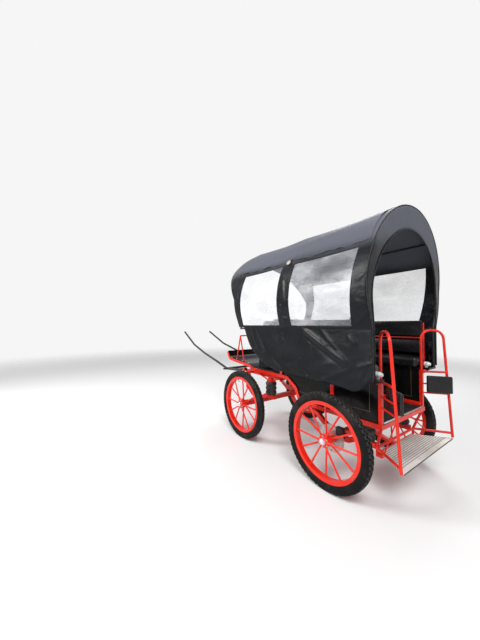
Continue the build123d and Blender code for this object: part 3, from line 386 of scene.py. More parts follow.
# Tub sides: plywood panels faced in black gloss with a thin gold line inside their lower and rear edges, set in the
# frame below the benches. The driver's box is the same board.
LINE_INSET, LINE_HALF = 0.075, 0.0014
sides_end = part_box("tub_sides")[0][0]
panel = Finish("black_gloss_panel", Coat_Weight=0.03, Coat_Roughness=0.06, Specular_IOR_Level=0.10)
streak = panel.where.noise(7, 4, stretch=(1, 1, 3))
from_end = panel.where.axis("X") - (sides_end + LINE_INSET)
from_floor = panel.where.axis("Z") - (FLOOR_TOP + LINE_INSET)
lines = [1 - away.size().step(LINE_HALF * 0.7, LINE_HALF * 1.3) for away in (from_floor, from_end)]
gold = (lines[0] + lines[1]).step(0.2, 0.8) * from_end.step(-0.002, -0.001) * from_floor.step(-0.002, -0.001)
body_black = streak.step(0.3, 0.8).mix((0.003, 0.003, 0.0035), (0.008, 0.0075, 0.008))
dust = (1 - panel.where.axis("Z").step(0.65, 0.85)) * streak.step(0.4, 0.7) * 0.12
panel.paint(Base_Color=(gold * 0.6).mix(dust.mix(body_black, (0.09, 0.078, 0.065)), (0.30, 0.17, 0.055)),
            Roughness=streak * 0.14 + dust * 0.4 + 0.12, Normal=panel.where.noise(12, 2).dents(0.0004))
dress(panel, "tub_sides", "driver_box", "bench_shelves")

# Bench cushions and back pads: foam in black vinyl, glued and stapled to boards. Each bench has one long seat
# cushion and two pads behind it, hung on a tube rail; the vinyl swells between its seams and creases at the ends.
vinyl = Finish("black_vinyl", Coat_Weight=0.05, Coat_Roughness=0.20, Specular_IOR_Level=0.26)
grain = vinyl.where.node("ShaderNodeTexVoronoi", {"feature": "DISTANCE_TO_EDGE"},
                         {"Vector": vinyl.where, "Scale": 420.0})
creases = vinyl.where.noise(22, 2, stretch=(1, 1, 2.5))
worn = vinyl.where.noise(6, 4, stretch=(2, 1, 1))
vinyl.paint(Base_Color=worn.step(0.35, 0.75).mix((0.005, 0.005, 0.006), (0.017, 0.016, 0.017)),
            Roughness=worn * 0.18 + 0.17,
            Normal=(grain.step(0.0, 0.25) * 0.10 + creases * 0.9).dents(0.0009))


def box_cushion(low, high, cut):
    """A cushion's cover before it is filled: a box with eased corners."""
    shape = bmesh.new()
    bar(shape, low, high, cut, 3)
    return shape


FRAMES, STIFFNESS = 14, 15.0


def fill(name, shape, voxel, pressure, cap):
    """Swells a cushion's cover with Blender's cloth, by no more than a cap, then gives back its mesh."""
    mesh = bpy.data.meshes.new(name + "_cover")
    shape.to_mesh(mesh)
    shape.free()
    cover = add_object(name + "_cover", mesh)
    fine = cover.modifiers.new("even squares", "REMESH")
    fine.mode = "VOXEL"
    fine.voxel_size = voxel
    cloth = cover.modifiers.new("vinyl", "CLOTH")
    cloth.settings.use_pressure = True
    cloth.settings.uniform_pressure_force = pressure
    cloth.settings.tension_stiffness = STIFFNESS
    cloth.settings.compression_stiffness = STIFFNESS
    cloth.settings.shear_stiffness = STIFFNESS / 3
    cloth.settings.bending_stiffness = 0.4
    cloth.settings.effector_weights.gravity = 0
    cloth.point_cache.frame_start = 1
    cloth.point_cache.frame_end = FRAMES
    for step in range(1, FRAMES + 1):
        bpy.context.scene.frame_set(step)
    swollen = bpy.data.meshes.new_from_object(cover, depsgraph=bpy.context.evaluated_depsgraph_get())
    cover.modifiers.remove(cover.modifiers["vinyl"])
    bpy.context.scene.frame_set(1)
    empty = bpy.data.meshes.new_from_object(cover, depsgraph=bpy.context.evaluated_depsgraph_get())
    for vert, first in zip(swollen.vertices, empty.vertices):
        move = vert.co - first.co
        if move.length > cap:
            vert.co = first.co + move.normalized() * cap
    filled = bmesh.new()
    filled.from_mesh(swollen)
    bpy.data.objects.remove(cover)
    return filled


def plump(shape, low, high, thin, swell, pucker):
    """Rounds a cushion up between its seams along its thin axis and gathers the cover in puckers near them."""
    flat = [axis for axis in range(3) if axis != thin]
    centre = (Vector(low) + Vector(high)) / 2
    half = (Vector(high) - Vector(low)) / 2
    for vert in shape.verts:
        off = vert.co - centre
        across, along = (min(1.0, abs(off[axis]) / half[axis]) for axis in flat)
        belly = (1 - across ** 2.4) * (1 - along ** 6)
        seam = max(across ** 4, along ** 16)
        place = vert.co * 26
        place[thin] = 3.0 if off[thin] > 0 else 8.0
        gather = (1 - abs(noise.noise(place))) ** 5 * seam
        rise = swell * belly * min(1.0, abs(off[thin]) / half[thin])
        vert.co[thin] += math.copysign(rise - pucker * gather, off[thin])


def put_pair(name, shape, node):
    """Puts a filled cushion on the left and its mirror image on the right, in place of a node."""
    twin = shape.copy()
    bmesh.ops.scale(twin, vec=(1, -1, 1), verts=twin.verts)
    bmesh.ops.reverse_faces(twin, faces=twin.faces)
    for side, half in (("left", shape), ("right", twin)):
        put(name + "_" + side, half, vinyl, "black_vinyl", node, crease=60)


seat_low, seat_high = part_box("bench_cushions")
SEAT_INNER, SEAT_OUTER = 0.374, 0.584
bench = fill("bench_cushion", box_cushion((seat_low[0] + 0.004, SEAT_INNER, seat_low[2] + 0.001),
                                          (seat_high[0] - 0.004, SEAT_OUTER, seat_high[2] - 0.022), 0.032),
             0.009, 5.0, 0.016)
plump(bench, (seat_low[0], SEAT_INNER, seat_low[2]), (seat_high[0], SEAT_OUTER, seat_high[2]), 2, 0.008, 0.010)
for vert in bench.verts:
    vert.co.z = max(vert.co.z, seat_low[2] + 0.0005)
put_pair("bench_cushion", bench, "bench_cushions")

backs_low, backs_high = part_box("bench_backs")
BACK_OUTER, BOARD_FACE = 0.6055, 0.6075
for name, low_z, high_z in (("low", 1.215, 1.374), ("top", 1.406, 1.590)):
    name = "bench_back_" + name
    back = fill(name, box_cushion((backs_low[0] + 0.004, 0.571, low_z + 0.005),
                                  (backs_high[0] - 0.004, BACK_OUTER, high_z - 0.006), 0.012), 0.008, 5.0, 0.011)
    plump(back, (backs_low[0], 0.566, low_z), (backs_high[0], BACK_OUTER, high_z), 1, 0.007, 0.007)
    for vert in back.verts:
        vert.co.y = min(vert.co.y, BOARD_FACE)
    put_pair(name, back, "bench_backs")

# Driver's seat: the same foam and vinyl on the boarded box, a low cushion and an upright pad behind it.
# How far the cover stays inside the board's box below and above, its eased edge and the most it may swell
DRIVER_PADS = [("driver_cushion", (0.004, 0.004, 0.001), (0.006, 0.004, 0.012), 0.020, 0.014),
               ("driver_back", (0.008, 0.006, 0.004), (0.008, 0.006, 0.008), 0.018, 0.012)]
for node, below, above, cut, cap in DRIVER_PADS:
    low, high = (Vector(corner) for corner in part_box(node))
    filled = fill(node, box_cushion(low + Vector(below), high - Vector(above), cut), 0.010, 5.0, cap)
    for vert in filled.verts:
        vert.co.z = max(vert.co.z, low.z + 0.0002)
    put(node + "_filled", filled, vinyl, "black_vinyl", node, crease=60)

# Back rails and canopy hoops: bent steel tube, the rails vermilion like the frame and the hoops grey black, clipped
# together where they cross.
hoop_steel = gloss_paint("hoop_paint", (0.016, 0.016, 0.018), (0.07, 0.06, 0.055), 0.34)
dress(hoop_steel, "canopy_hoops")
dress(red_paint, "back_rails")

# Canopy: one skin of black coated cloth, stretched over the hoops. It bows over the benches, creases where the
# sides turn to hang as a skirt, leans back round the rear hoop and reaches forward as a visor over the driver.
cloth = Finish("canopy_cloth", Specular_IOR_Level=0.15)
cloth_mottle = cloth.where.noise(3.5, 5, stretch=(2.5, 1, 1))
thread = cloth.where.axis("X").wave(0.0016) * (cloth.where.axis("Z") + cloth.where.axis("Y")).wave(0.0016)
crinkle = cloth.where.noise(24, 5, 0.6, stretch=(2.2, 1, 1))
swell = cloth.where.noise(9, 2, stretch=(3, 1, 1))
# Painted sheen: above about 2.2 m the cloth's colour is painted paler and bluer for the sky's reflection on the
# roof; the same mask also makes the cloth rougher there and softens its bump. The mottle noise is the cloth's own
# random tone and jitters the sheen's edge.
roof_sheen = (cloth.where.axis("Z") + cloth_mottle * 0.10).step(2.20, 2.36)
kink = ((1 - (cloth.where.noise(5, 2) - 0.5).size().step(0.0, 0.022))
        * cloth.where.noise(4, 2, stretch=(1, 1, 2)).step(0.48, 0.60) * (1 - roof_sheen))
shade = cloth_mottle.step(0.3, 0.75).mix((0.0024, 0.0027, 0.0036), (0.0080, 0.0088, 0.0118))
cloth.paint(Base_Color=roof_sheen.mix(shade, (0.088, 0.094, 0.115)),
            Roughness=cloth_mottle * 0.10 + crinkle * 0.08 + roof_sheen * 0.32 + 0.14,
            Normal=((crinkle * 0.7 + swell * 2.0) * (1 - roof_sheen * 0.6) + kink * 1.5 + thread * 0.06).dents(0.0022))

rear_x = middle("rear_axle").x
ARCH_Z, ARCH_R = 1.881, 0.751
CREASE_Z, SKIRT_Y, SKIRT_Z = 1.505, 0.660, 1.010
CLOTH, CLOTH_STEP = 0.0035, 0.0150
REAR, FRONT = rear_x - 0.460, rear_x + 1.410
VISOR_LEAN, REAR_LEAN = 30, -4.5
side_lean = math.atan2(ARCH_Z - CREASE_Z, SKIRT_Y) - math.acos(ARCH_R / math.hypot(SKIRT_Y, ARCH_Z - CREASE_Z))
WINDOWS = [((-0.284, 0.409), (-0.370, 0.335)), ((0.594, 1.300), (0.510, 1.215))]
WINDOW_Z, CLEAR_TOP = (1.530, 2.225), 2.180


def window_edges(window, z):
    """The X limits of a window at a height."""
    share = (z - WINDOW_Z[0]) / (WINDOW_Z[1] - WINDOW_Z[0])
    return tuple(rear_x + low + (high - low) * share for low, high in zip(*window))


def section(shape, inset, x, step):
    """The canopy's outline across the carriage, from one hem over the arch to the other, as a chain of edges."""
    radius = ARCH_R - inset
    touch = (radius * math.cos(side_lean), ARCH_Z - radius * math.sin(side_lean))
    start = shape.verts.new((x, touch[0], touch[1]))
    steps = round(radius * (math.pi + 2 * side_lean) / step)
    bmesh.ops.spin(shape, geom=[start], cent=(x, 0, ARCH_Z), axis=(1, 0, 0), angle=math.pi + 2 * side_lean,
                   steps=steps)
    ends = sorted(shape.verts, key=lambda v: v.co.z)[:2]
    crease = (SKIRT_Y - inset, CREASE_Z + inset * math.tan(side_lean / 2))
    for end in ends:
        side = math.copysign(1, end.co.y)
        for y, z in (crease, (SKIRT_Y - inset, SKIRT_Z)):
            run = Vector((x, side * y, z)) - end.co
            grown = max(1, round(run.length / step))
            for _ in range(grown):
                end = bmesh.ops.extrude_vert_indiv(shape, verts=[end])["verts"][0]
                bmesh.ops.translate(shape, verts=[end], vec=run / grown)


def draw_out(shape, run, step):
    """Draws a chain of edges out forward along the carriage, in even steps."""
    steps = round(run / step)
    bmesh.ops.spin(shape, geom=shape.verts[:] + shape.edges[:], cent=(0, 0, 0), axis=(0, 0, 1), angle=0,
                   steps=steps, dvec=(run / steps, 0, 0))


def face_out(shape, way):
    """Turns all faces to one side, which on the whole is the side of a direction."""
    bmesh.ops.recalc_face_normals(shape, faces=shape.faces)
    if sum(face.normal.dot(way) for face in shape.faces) < 0:
        bmesh.ops.reverse_faces(shape, faces=shape.faces)


def thicken(piece, thickness):
    """Gives a sheet its thickness, on its inner side."""
    wall = piece.modifiers.new("cloth thickness", "SOLIDIFY")
    wall.thickness = thickness
    wall.offset = -1


def level(points, x):
    """The height at x of a line through (x, height) points, level beyond its ends."""
    for (x0, z0), (x1, z1) in zip(points, points[1:]):
        if x <= x1:
            return z0 + (z1 - z0) * max(0.0, x - x0) / (x1 - x0)
    return points[-1][1]


def sides_only(shape, low, high):
    """Everything on the two sides between two heights."""
    verts = [v for v in shape.verts if low - 1e-4 <= v.co.z <= high + 1e-4]
    held = set(verts)
    return verts + [part for part in shape.edges[:] + shape.faces[:] if set(part.verts) <= held]


def score_windows(shape, margin):
    """Cuts the skin along the windows' edges, grown by a margin, and gives the faces inside them."""
    low, high = WINDOW_Z[0] - margin, CLEAR_TOP + margin
    for z in (low, high):
        bmesh.ops.bisect_plane(shape, geom=shape.verts[:] + shape.edges[:] + shape.faces[:], dist=1e-5,
                               plane_co=(0, 0, z), plane_no=(0, 0, 1))
    for window in WINDOWS:
        for index, sign in ((0, -1), (1, 1)):
            foot = Vector((window_edges(window, low)[index] + sign * margin, 0, low))
            head = Vector((window_edges(window, high)[index] + sign * margin, 0, high))
            bmesh.ops.bisect_plane(shape, geom=sides_only(shape, low, high), dist=1e-5, plane_co=foot,
                                   plane_no=(head - foot).cross(Vector((0, 1, 0))))
    inside = []
    for face in shape.faces:
        at = face.calc_center_median()
        if low < at.z < high:
            for window in WINDOWS:
                left, right = window_edges(window, at.z)
                if left - margin < at.x < right + margin:
                    inside.append(face)
    return inside


HOOP_XS = (-0.442, 0.501, 1.392)


def outward(at):
    """The direction square to the canopy's skin at a point."""
    if at.z > ARCH_Z - ARCH_R * math.sin(side_lean):
        return Vector((0, at.y, at.z - ARCH_Z)).normalized()
    if at.z > CREASE_Z:
        return Vector((0, math.copysign(math.cos(side_lean), at.y), -math.sin(side_lean)))
    return Vector((0, math.copysign(1, at.y), 0))


def ridge(at, x0, z0, x1, z1, width, height):
    """The height at a point of a fold that runs between two (x, z) points and dies out at its ends."""
    run, rise = x1 - x0, z1 - z0
    length = math.hypot(run, rise)
    share = ((at.x - rear_x - x0) * run + (at.z - z0) * rise) / length ** 2
    away = ((at.x - rear_x - x0) * rise - (at.z - z0) * run) / length / width
    if share < -0.15 or share > 1.15 or abs(away) > 3:
        return 0.0
    ends = min(1, max(0, (share + 0.15) / 0.3)) * min(1, max(0, (1.15 - share) / 0.3))
    return height * math.exp(-abs(away) ** 1.35) * ends


# Each fold's ends as x from the rear axle and z, then its width and height
FOLDS = [(0.270, 1.500, -0.215, 1.205, 0.020, 0.020), (0.215, 1.410, -0.180, 1.165, 0.022, -0.006),
         (0.034, 1.487, -0.224, 1.213, 0.012, 0.008), (-0.246, 1.432, -0.318, 1.367, 0.012, 0.011),
         (0.731, 1.475, 0.597, 1.341, 0.016, 0.008), (0.471, 1.107, 0.299, 1.181, 0.014, 0.009),
         (0.194, 1.103, -0.084, 1.187, 0.016, 0.007), (0.050, 0.999, -0.261, 1.158, 0.016, 0.015),
         (0.097, 0.980, 0.015, 1.024, 0.012, 0.007), (0.995, 1.445, 0.840, 1.230, 0.020, 0.009),
         (-0.325, 1.176, -0.443, 1.224, 0.012, 0.009), (-0.330, 1.200, -0.350, 0.980, 0.008, 0.008),
         (-0.370, 1.170, -0.385, 1.000, 0.008, 0.008), (-0.405, 1.180, -0.420, 1.050, 0.007, 0.007),
         (-0.445, 1.260, -0.400, 1.100, 0.008, -0.006), (-0.376, 1.898, -0.465, 1.964, 0.012, 0.007),
         (-0.358, 1.739, -0.458, 1.684, 0.011, 0.008), (-0.350, 1.560, -0.450, 1.638, 0.012, 0.008),
         (-0.400, 1.830, -0.455, 1.760, 0.010, -0.006), (0.470, 2.060, 0.440, 1.700, 0.014, 0.006),
         (0.480, 1.760, 0.500, 1.560, 0.012, 0.006), (0.620, 1.200, 0.300, 1.440, 0.026, 0.008),
         (1.120, 1.480, 1.000, 1.240, 0.016, 0.008), (0.560, 1.060, 0.720, 1.160, 0.014, 0.008)]


def hang(at):
    """Where the skin really lies: sagging between the hoops and purlins, wrinkled, and folded on the skirt."""
    x = at.x - rear_x
    out = outward(at)
    bays = [(low, high) for low, high in zip(HOOP_XS, HOOP_XS[1:]) if low <= x <= high]
    bay = math.sin(math.pi * (x - bays[0][0]) / (bays[0][1] - bays[0][0])) if bays else 0.0
    bow = math.degrees(math.atan2(at.z - ARCH_Z, at.y))
    lift = 0.0
    if at.z > ARCH_Z - 0.05:
        between = abs(math.sin(math.radians(bow) * 4))
        lift -= 0.0022 * bay + 0.010 * bay * between ** 1.5 * min(1.0, max(0.0, (at.z - ARCH_Z) / 0.2))
    near = noise.noise((x * 3.2, at.y * 9, at.z * 9))
    far = noise.noise((x * 1.2 + 7, at.y * 4, at.z * 4))
    loose = 1.0 if at.z < CREASE_Z else 0.45
    lift += (0.0035 * near + 0.004 * far) * loose
    if at.z < CREASE_Z + 0.03:
        skirt = min(1.0, (CREASE_Z + 0.03 - at.z) / 0.12)
        ripple = math.sin(x * 11 + 1.3 * math.copysign(1, at.y)) * 0.5 + math.sin(x * 23 + at.y)
        lift += 0.0035 * skirt * ripple * (CREASE_Z - at.z + 0.1)
    if at.z < 2.08:
        for fold in FOLDS:
            lift += ridge(at, *fold)
    if lift < -0.0025 and at.z > CREASE_Z:
        on_hoop = min(abs(x - hoop) for hoop in HOOP_XS)
        lift *= min(1.0, 0.3 + on_hoop / 0.06)
    return at + out * lift


# The skirt's lower edge where it is cut away for the driver, and how far the rest of the hem sags or is drawn up
DRIVER_CUT = [(0.70, SKIRT_Z), (0.86, 1.060), (1.00, 1.125), (1.09, 1.190), (1.18, 1.285), (1.24, 1.380),
              (1.29, 1.500), (1.42, 1.503)]
HEM = [(-0.470, 0.096), (-0.420, 0.060), (-0.350, -0.018), (-0.290, -0.042), (-0.150, -0.026), (0.100, -0.010),
       (0.400, 0.0)]
skin = bmesh.new()
section(skin, 0.0, REAR, CLOTH_STEP)
draw_out(skin, FRONT - REAR, CLOTH_STEP)
for edge_x, lean, steps in ((FRONT, VISOR_LEAN, 22), (REAR, REAR_LEAN, 3)):
    rim = [v for v in skin.verts if abs(v.co.x - edge_x) < 1e-5 and v.co.z > ARCH_Z - 1e-4]
    held = set(rim)
    arc = rim + [e for e in skin.edges if set(e.verts) <= held and abs(e.verts[0].co.x - e.verts[1].co.x) < 1e-6]
    bmesh.ops.spin(skin, geom=arc, cent=(edge_x, 0, ARCH_Z), axis=(0, 1, 0), angle=math.radians(lean), steps=steps)
bmesh.ops.remove_doubles(skin, verts=skin.verts, dist=1e-5)
face_out(skin, Vector((0, 0, 1)))
bmesh.ops.delete(skin, geom=score_windows(skin, 0.0), context="FACES")
centres = {face: face.calc_center_median() for face in skin.faces}
cut_off = [face for face, at in centres.items() if at.z < level(DRIVER_CUT, at.x - rear_x) - 0.004]
bmesh.ops.delete(skin, geom=cut_off, context="FACES")
for vert in skin.verts:
    x = vert.co.x - rear_x
    if x > 0.70 and vert.is_boundary and vert.co.z < CREASE_Z + 0.01:
        vert.co.z = level(DRIVER_CUT, x)
flat_area = sum(face.calc_area() for face in skin.faces)
for vert in skin.verts:
    if vert.co.z < CREASE_Z:
        vert.co.z += level(HEM, vert.co.x - rear_x) * (CREASE_Z - vert.co.z) / (CREASE_Z - SKIRT_Z)
    vert.co = hang(vert.co)
FLARE_START, FLARE_RUN, FLARE = FRONT + 0.02, 0.35, 0.055
for vert in skin.verts:
    if vert.co.x > FLARE_START and vert.co.z > ARCH_Z - 0.05:
        vert.co.y *= 1 + FLARE * min(1.0, (vert.co.x - FLARE_START) / FLARE_RUN)
canopy_skin = put("canopy_skin", skin, cloth, "canopy_cloth", "canopy", crease=50)
thicken(canopy_skin, CLOTH)

# Roof panel: a second layer of the same cloth, laid over the arch from the rear hoop to the front one; up here
# the cloth's colour is painted paler as a sheen. Its sides are left loose and hang in scallops over the tops of the
# windows.
FLAP_Z, ROOF_RUN = 2.232, 1.846
roof = bmesh.new()
flap_angle = math.asin((FLAP_Z - ARCH_Z) / ARCH_R)
foot = roof.verts.new((REAR + 0.004, ARCH_R * math.cos(flap_angle), FLAP_Z))
bow_angle = math.pi - 2 * flap_angle
bmesh.ops.spin(roof, geom=[foot], cent=(REAR + 0.004, 0, ARCH_Z), axis=(1, 0, 0), angle=bow_angle,
               steps=round(ARCH_R * bow_angle / CLOTH_STEP))
draw_out(roof, ROOF_RUN, CLOTH_STEP)
face_out(roof, Vector((0, 0, 1)))
roof_area = sum(face.calc_area() for face in roof.faces)
for vert in roof.verts:
    x = vert.co.x - rear_x
    loose = max(0.0, 1 - (vert.co.z - FLAP_Z) / 0.10)
    side = math.copysign(1, vert.co.y)
    drop = 0.016 * abs(math.sin(x * 7.3 + 0.4 * side)) + 0.010 * noise.noise((x * 14, side * 3, 0))
    ruck = 0.007 * abs(math.sin(x * 16 + side)) + 0.008 * abs(noise.noise((x * 20, side * 5, 1)))
    bow = math.degrees(math.atan2(vert.co.z - ARCH_Z, abs(vert.co.y)))
    long_fold = 0.006 * max(0.0, math.sin(x * 2.2 + bow * 0.16)) ** 3
    vert.co = hang(vert.co) + outward(vert.co) * (0.0034 + loose ** 2 * ruck + long_fold * (1 - loose))
    vert.co.z -= drop * loose
roof_panel = put("canopy_roof_panel", roof, cloth, "canopy_cloth", "canopy", crease=50)
thicken(roof_panel, 0.0024)

# Strap buckles: a cream moulded buckle on each side, with a tongue across its frame. There the strap over the
# middle hoop ties the roof panel down.
cream = blotchy("cream_plastic", 50, (0.3, 0.75), (0.30, 0.27, 0.21), (0.56, 0.52, 0.42), (0.2, 0.35), detail=3,
                Specular_IOR_Level=0.45)
for side, hand in ((1, "left"), (-1, "right")):
    buckle = bmesh.new()
    bar(buckle, (-0.026, -0.018, 0.0), (0.026, 0.018, 0.010), 0.004)
    bar(buckle, (-0.016, -0.030, 0.0015), (0.016, 0.024, 0.006), 0.002)
    place = Vector((rear_x + 0.430, 0, 2.205))
    place.y = side * math.sqrt(ARCH_R ** 2 - (place.z - ARCH_Z) ** 2)
    turn = Vector((0, 0, 1)).rotation_difference(outward(place)).to_matrix().to_4x4()
    seat = Matrix.Translation(place + outward(place) * 0.0065)
    bmesh.ops.transform(buckle, matrix=seat @ turn, verts=buckle.verts)
    put("strap_buckle_" + hand, buckle, cream, "lamp_lens")

# Rear of the canopy: a flat band of the same cloth turned in behind the rear hoop, with a round welt sewn along
# the canopy's rear edge and another round the mouth.


def beading(points, radius):
    """A thin round welt along a line of points."""
    line = bpy.data.curves.new("welt", "CURVE")
    line.dimensions = "3D"
    line.bevel_depth = radius
    line.bevel_resolution = 2
    spline = line.splines.new("POLY")
    spline.points.add(len(points) - 1)
    for point, at in zip(spline.points, points):
        point.co = (*at, 1)
    line.use_fill_caps = True
    holder = add_object("welt", line)
    shape = bmesh.new()
    shape.from_mesh(bpy.data.meshes.new_from_object(holder))
    bpy.data.objects.remove(holder)
    return shape


MOUTH_R, MOUTH_Z, MOUTH_FOOT_Y, SKIRT_SHARE = 0.668, 1.748, 0.640, 0.22
REAR_HEM_Z = SKIRT_Z + level(HEM, -0.46)
lean = math.radians(REAR_LEAN)


def leaned(x, y, z):
    """A point of the rear face, turned back with it above the arch's middle."""
    if z <= ARCH_Z:
        return Vector((x, y, z))
    return Vector((x + (z - ARCH_Z) * math.sin(lean), y, ARCH_Z + (z - ARCH_Z) * math.cos(lean)))


def outline_point(share, skirt_y, foot, foot_share, radius, middle_z, first_angle):
    """A point of an outline, a share of the way from the left hem up the side, over the top and down again."""
    side = 1 if share < 0.5 else -1
    share = min(share, 1 - share) * 2
    if share < SKIRT_SHARE:
        return side * skirt_y, REAR_HEM_Z + (CREASE_Z - REAR_HEM_Z) * share / SKIRT_SHARE
    if share < foot_share:
        part = (share - SKIRT_SHARE) / (foot_share - SKIRT_SHARE)
        return side * (skirt_y + (foot[0] - skirt_y) * part), CREASE_Z + (foot[1] - CREASE_Z) * part
    angle = first_angle + (math.pi / 2 - first_angle) * (share - foot_share) / (1 - foot_share)
    return side * radius * math.cos(angle), middle_z + radius * math.sin(angle)


def rear_point(inset, share):
    """A point of the canopy's rear outline, drawn in by an inset."""
    foot = (ARCH_R * math.cos(side_lean) - inset, ARCH_Z - ARCH_R * math.sin(side_lean))
    return outline_point(share, SKIRT_Y - inset, foot, 0.36, ARCH_R - inset, ARCH_Z, -side_lean)


def mouth_point(share):
    """The point of the mouth's edge that faces a point of the rear outline."""
    return outline_point(share, MOUTH_FOOT_Y, (MOUTH_R, MOUTH_Z), 0.34, MOUTH_R, MOUTH_Z, 0.0)


BAND_ROWS, WELT_ROWS, WELT_R = 200, 160, 0.0042
band = bmesh.new()
rims = []
for outline in (lambda share: rear_point(0.001, share), mouth_point):
    verts = [band.verts.new(leaned(REAR - 0.0005, *outline(row / BAND_ROWS))) for row in range(BAND_ROWS + 1)]
    rims += [band.edges.new(pair) for pair in zip(verts, verts[1:])]
bmesh.ops.bridge_loops(band, edges=rims)
bmesh.ops.subdivide_edges(band, edges=[e for e in band.edges if e not in rims], cuts=6, use_grid_fill=True)
band_area = sum(face.calc_area() for face in band.faces)
for vert in band.verts:
    pull = noise.noise((vert.co.y * 7, vert.co.z * 7, 3))
    vert.co.x -= 0.004 * abs(pull) + 0.0006
face_out(band, Vector((-1, 0, 0)))
rear_band = put("canopy_rear_band", band, cloth, "canopy_cloth", "canopy", crease=60)
thicken(rear_band, 0.003)

welt_cloth = blotchy("canopy_welt", 40, (0.35, 0.75), (0.006, 0.006, 0.007), (0.036, 0.034, 0.033), (0.25, 0.45),
                     Specular_IOR_Level=0.25)
welt_cloth.paint(Normal=welt_cloth.where.noise(260, 2).dents(0.0006))
shares = [row / WELT_ROWS for row in range(WELT_ROWS + 1)]
mouth_edge = [leaned(REAR - 0.004, *mouth_point(share)) for share in shares]
put("mouth_welt", beading(mouth_edge, WELT_R), welt_cloth, "canopy_cloth")
rear_edge = [leaned(REAR - 0.001, *rear_point(0.0, share)) for share in shares]
put("rear_edge_welt", beading(rear_edge, WELT_R), welt_cloth, "canopy_cloth")

# Windows: four panes of flexible clear vinyl, welded into the cloth by their edges and gone cloudy with age. They
# hang and crease with the skin round them.
clear = Finish("clear_vinyl", Specular_IOR_Level=0.5, IOR=1.45)
mist = clear.where.noise(5, 5, stretch=(1.6, 1, 1))
clear.paint(Base_Color=mist.step(0.3, 0.75).mix((0.44, 0.46, 0.50), (0.76, 0.78, 0.81)),
            Roughness=mist * 0.3 + 0.05, Alpha=mist.step(0.25, 0.8) * 0.30 + 0.20,
            Normal=(clear.where.noise(11, 3, stretch=(2, 1, 1)) * 4).dents(0.0018))
PANE_STEP, SEAM = 0.02, 0.006
for side, hand in ((1, "left"), (-1, "right")):
    for window, end in zip(WINDOWS, ("rear", "front")):
        pane = bmesh.new()
        section(pane, 0.0012, REAR + 0.004, PANE_STEP)
        draw_out(pane, FRONT - REAR - 0.008, PANE_STEP)
        keep = set()
        for face in score_windows(pane, SEAM):
            at = face.calc_center_median()
            left, right = window_edges(window, at.z)
            if at.y * side > 0 and left - 0.007 < at.x < right + 0.007:
                keep.add(face)
        bmesh.ops.delete(pane, geom=[f for f in pane.faces if f not in keep], context="FACES")
        pane_area = sum(face.calc_area() for face in pane.faces)
        for vert in pane.verts:
            vert.co = hang(vert.co) - outward(vert.co) * 0.0006
        face_out(pane, Vector((0, side, 0)))
        name = "window_" + end + "_" + hand
        sheet = put(name, pane, clear, "clear_window", "window_panes", crease=60)

# Forecarriage and shafts: a vermilion frame under two black turntable plates, greased where they meet, with a pair
# of bent steel shafts, enamelled black, on its yokes.
dress(red_paint, "fore_frame")
dress(black_steel, "turntable_upper", "turntable_lower", "shaft_pair")

# Step: a pressed aluminium tread plate with raised ribs and rows of drain holes, bolted into a red tube frame
# between the hooped handrails.
dress(red_paint, "step_frame", "handrails")
step_low, step_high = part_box("step_plate")
tread = Finish("tread_plate", Metallic=0.25, Specular_IOR_Level=0.4)
to_rear = tread.where.axis("X") - step_low[0]
wipe = tread.where.noise(14, 4, stretch=(1, 5, 1))
NOSE, ROW, HOLE = 0.040, 0.0196, 0.0140
hole_row = (to_rear - NOSE - ROW / 2) / ROW
row_away = (hole_row - hole_row.math("ROUND")) * ROW
hole_at = tread.where.axis("Y") / HOLE
side_away = (hole_at - hole_at.math("ROUND")) * HOLE
away = (row_away * row_away + side_away * side_away).math("SQRT")
# The drain holes are not cut: each one is a near-black disc of painted shade, standing for the dark seen through a
# hole, with a shallow dent in the bump.
painted_hole_shade = (1 - away.step(0.0040, 0.0052)) * to_rear.step(NOSE, NOSE + 0.002)
grubby = wipe.step(0.3, 0.75).mix((0.60, 0.58, 0.53), (0.84, 0.83, 0.80))
tread.paint(Base_Color=painted_hole_shade.mix(grubby, (0.030, 0.029, 0.027)), Roughness=wipe * 0.25 + 0.38,
            Normal=(wipe * 0.5 - painted_hole_shade * 2).dents(0.001))
plate = bmesh.new()
front_half, rear_half = 0.320, 0.548
depth = step_high[0] - step_low[0]
top_z = step_high[2] - 0.0022
bar(plate, (step_low[0], -rear_half, step_low[2]), (step_high[0], rear_half, top_z))
for vert in plate.verts:
    if vert.co.x > step_low[0] + depth / 2:
        vert.co.y = math.copysign(front_half, vert.co.y)


def plate_half(x):
    """Half the plate's width at a place along it."""
    return rear_half - (rear_half - front_half) * (x - step_low[0]) / depth - 0.004


for rib in range(int((depth - NOSE) / ROW) + 1):
    x = step_low[0] + NOSE + rib * ROW
    bar(plate, (x - 0.0030, -plate_half(x), top_z - 0.001), (x + 0.0030, plate_half(x), top_z + 0.0018), 0.0008)
bar(plate, (step_low[0], -rear_half + 0.001, step_low[2]),
    (step_low[0] + 0.008, rear_half - 0.001, step_high[2] - 0.0002), 0.0016)
put("tread_plate", plate, tread, "tread_aluminium", "step_plate", crease=30)
bolts = bmesh.new()
BOLTS = ((step_low[0] + 0.024, rear_half - 0.030), (step_low[0] + 0.024, 0.180),
         (step_high[0] - 0.010, front_half - 0.030))
for side in (1, -1):
    for x, y in BOLTS:
        nut(bolts, 0.0085, 0.004, Vector((x, side * y, top_z - 0.0004)), (0, 0, 1))
put("step_bolts", bolts, zinc, "hub_chrome")

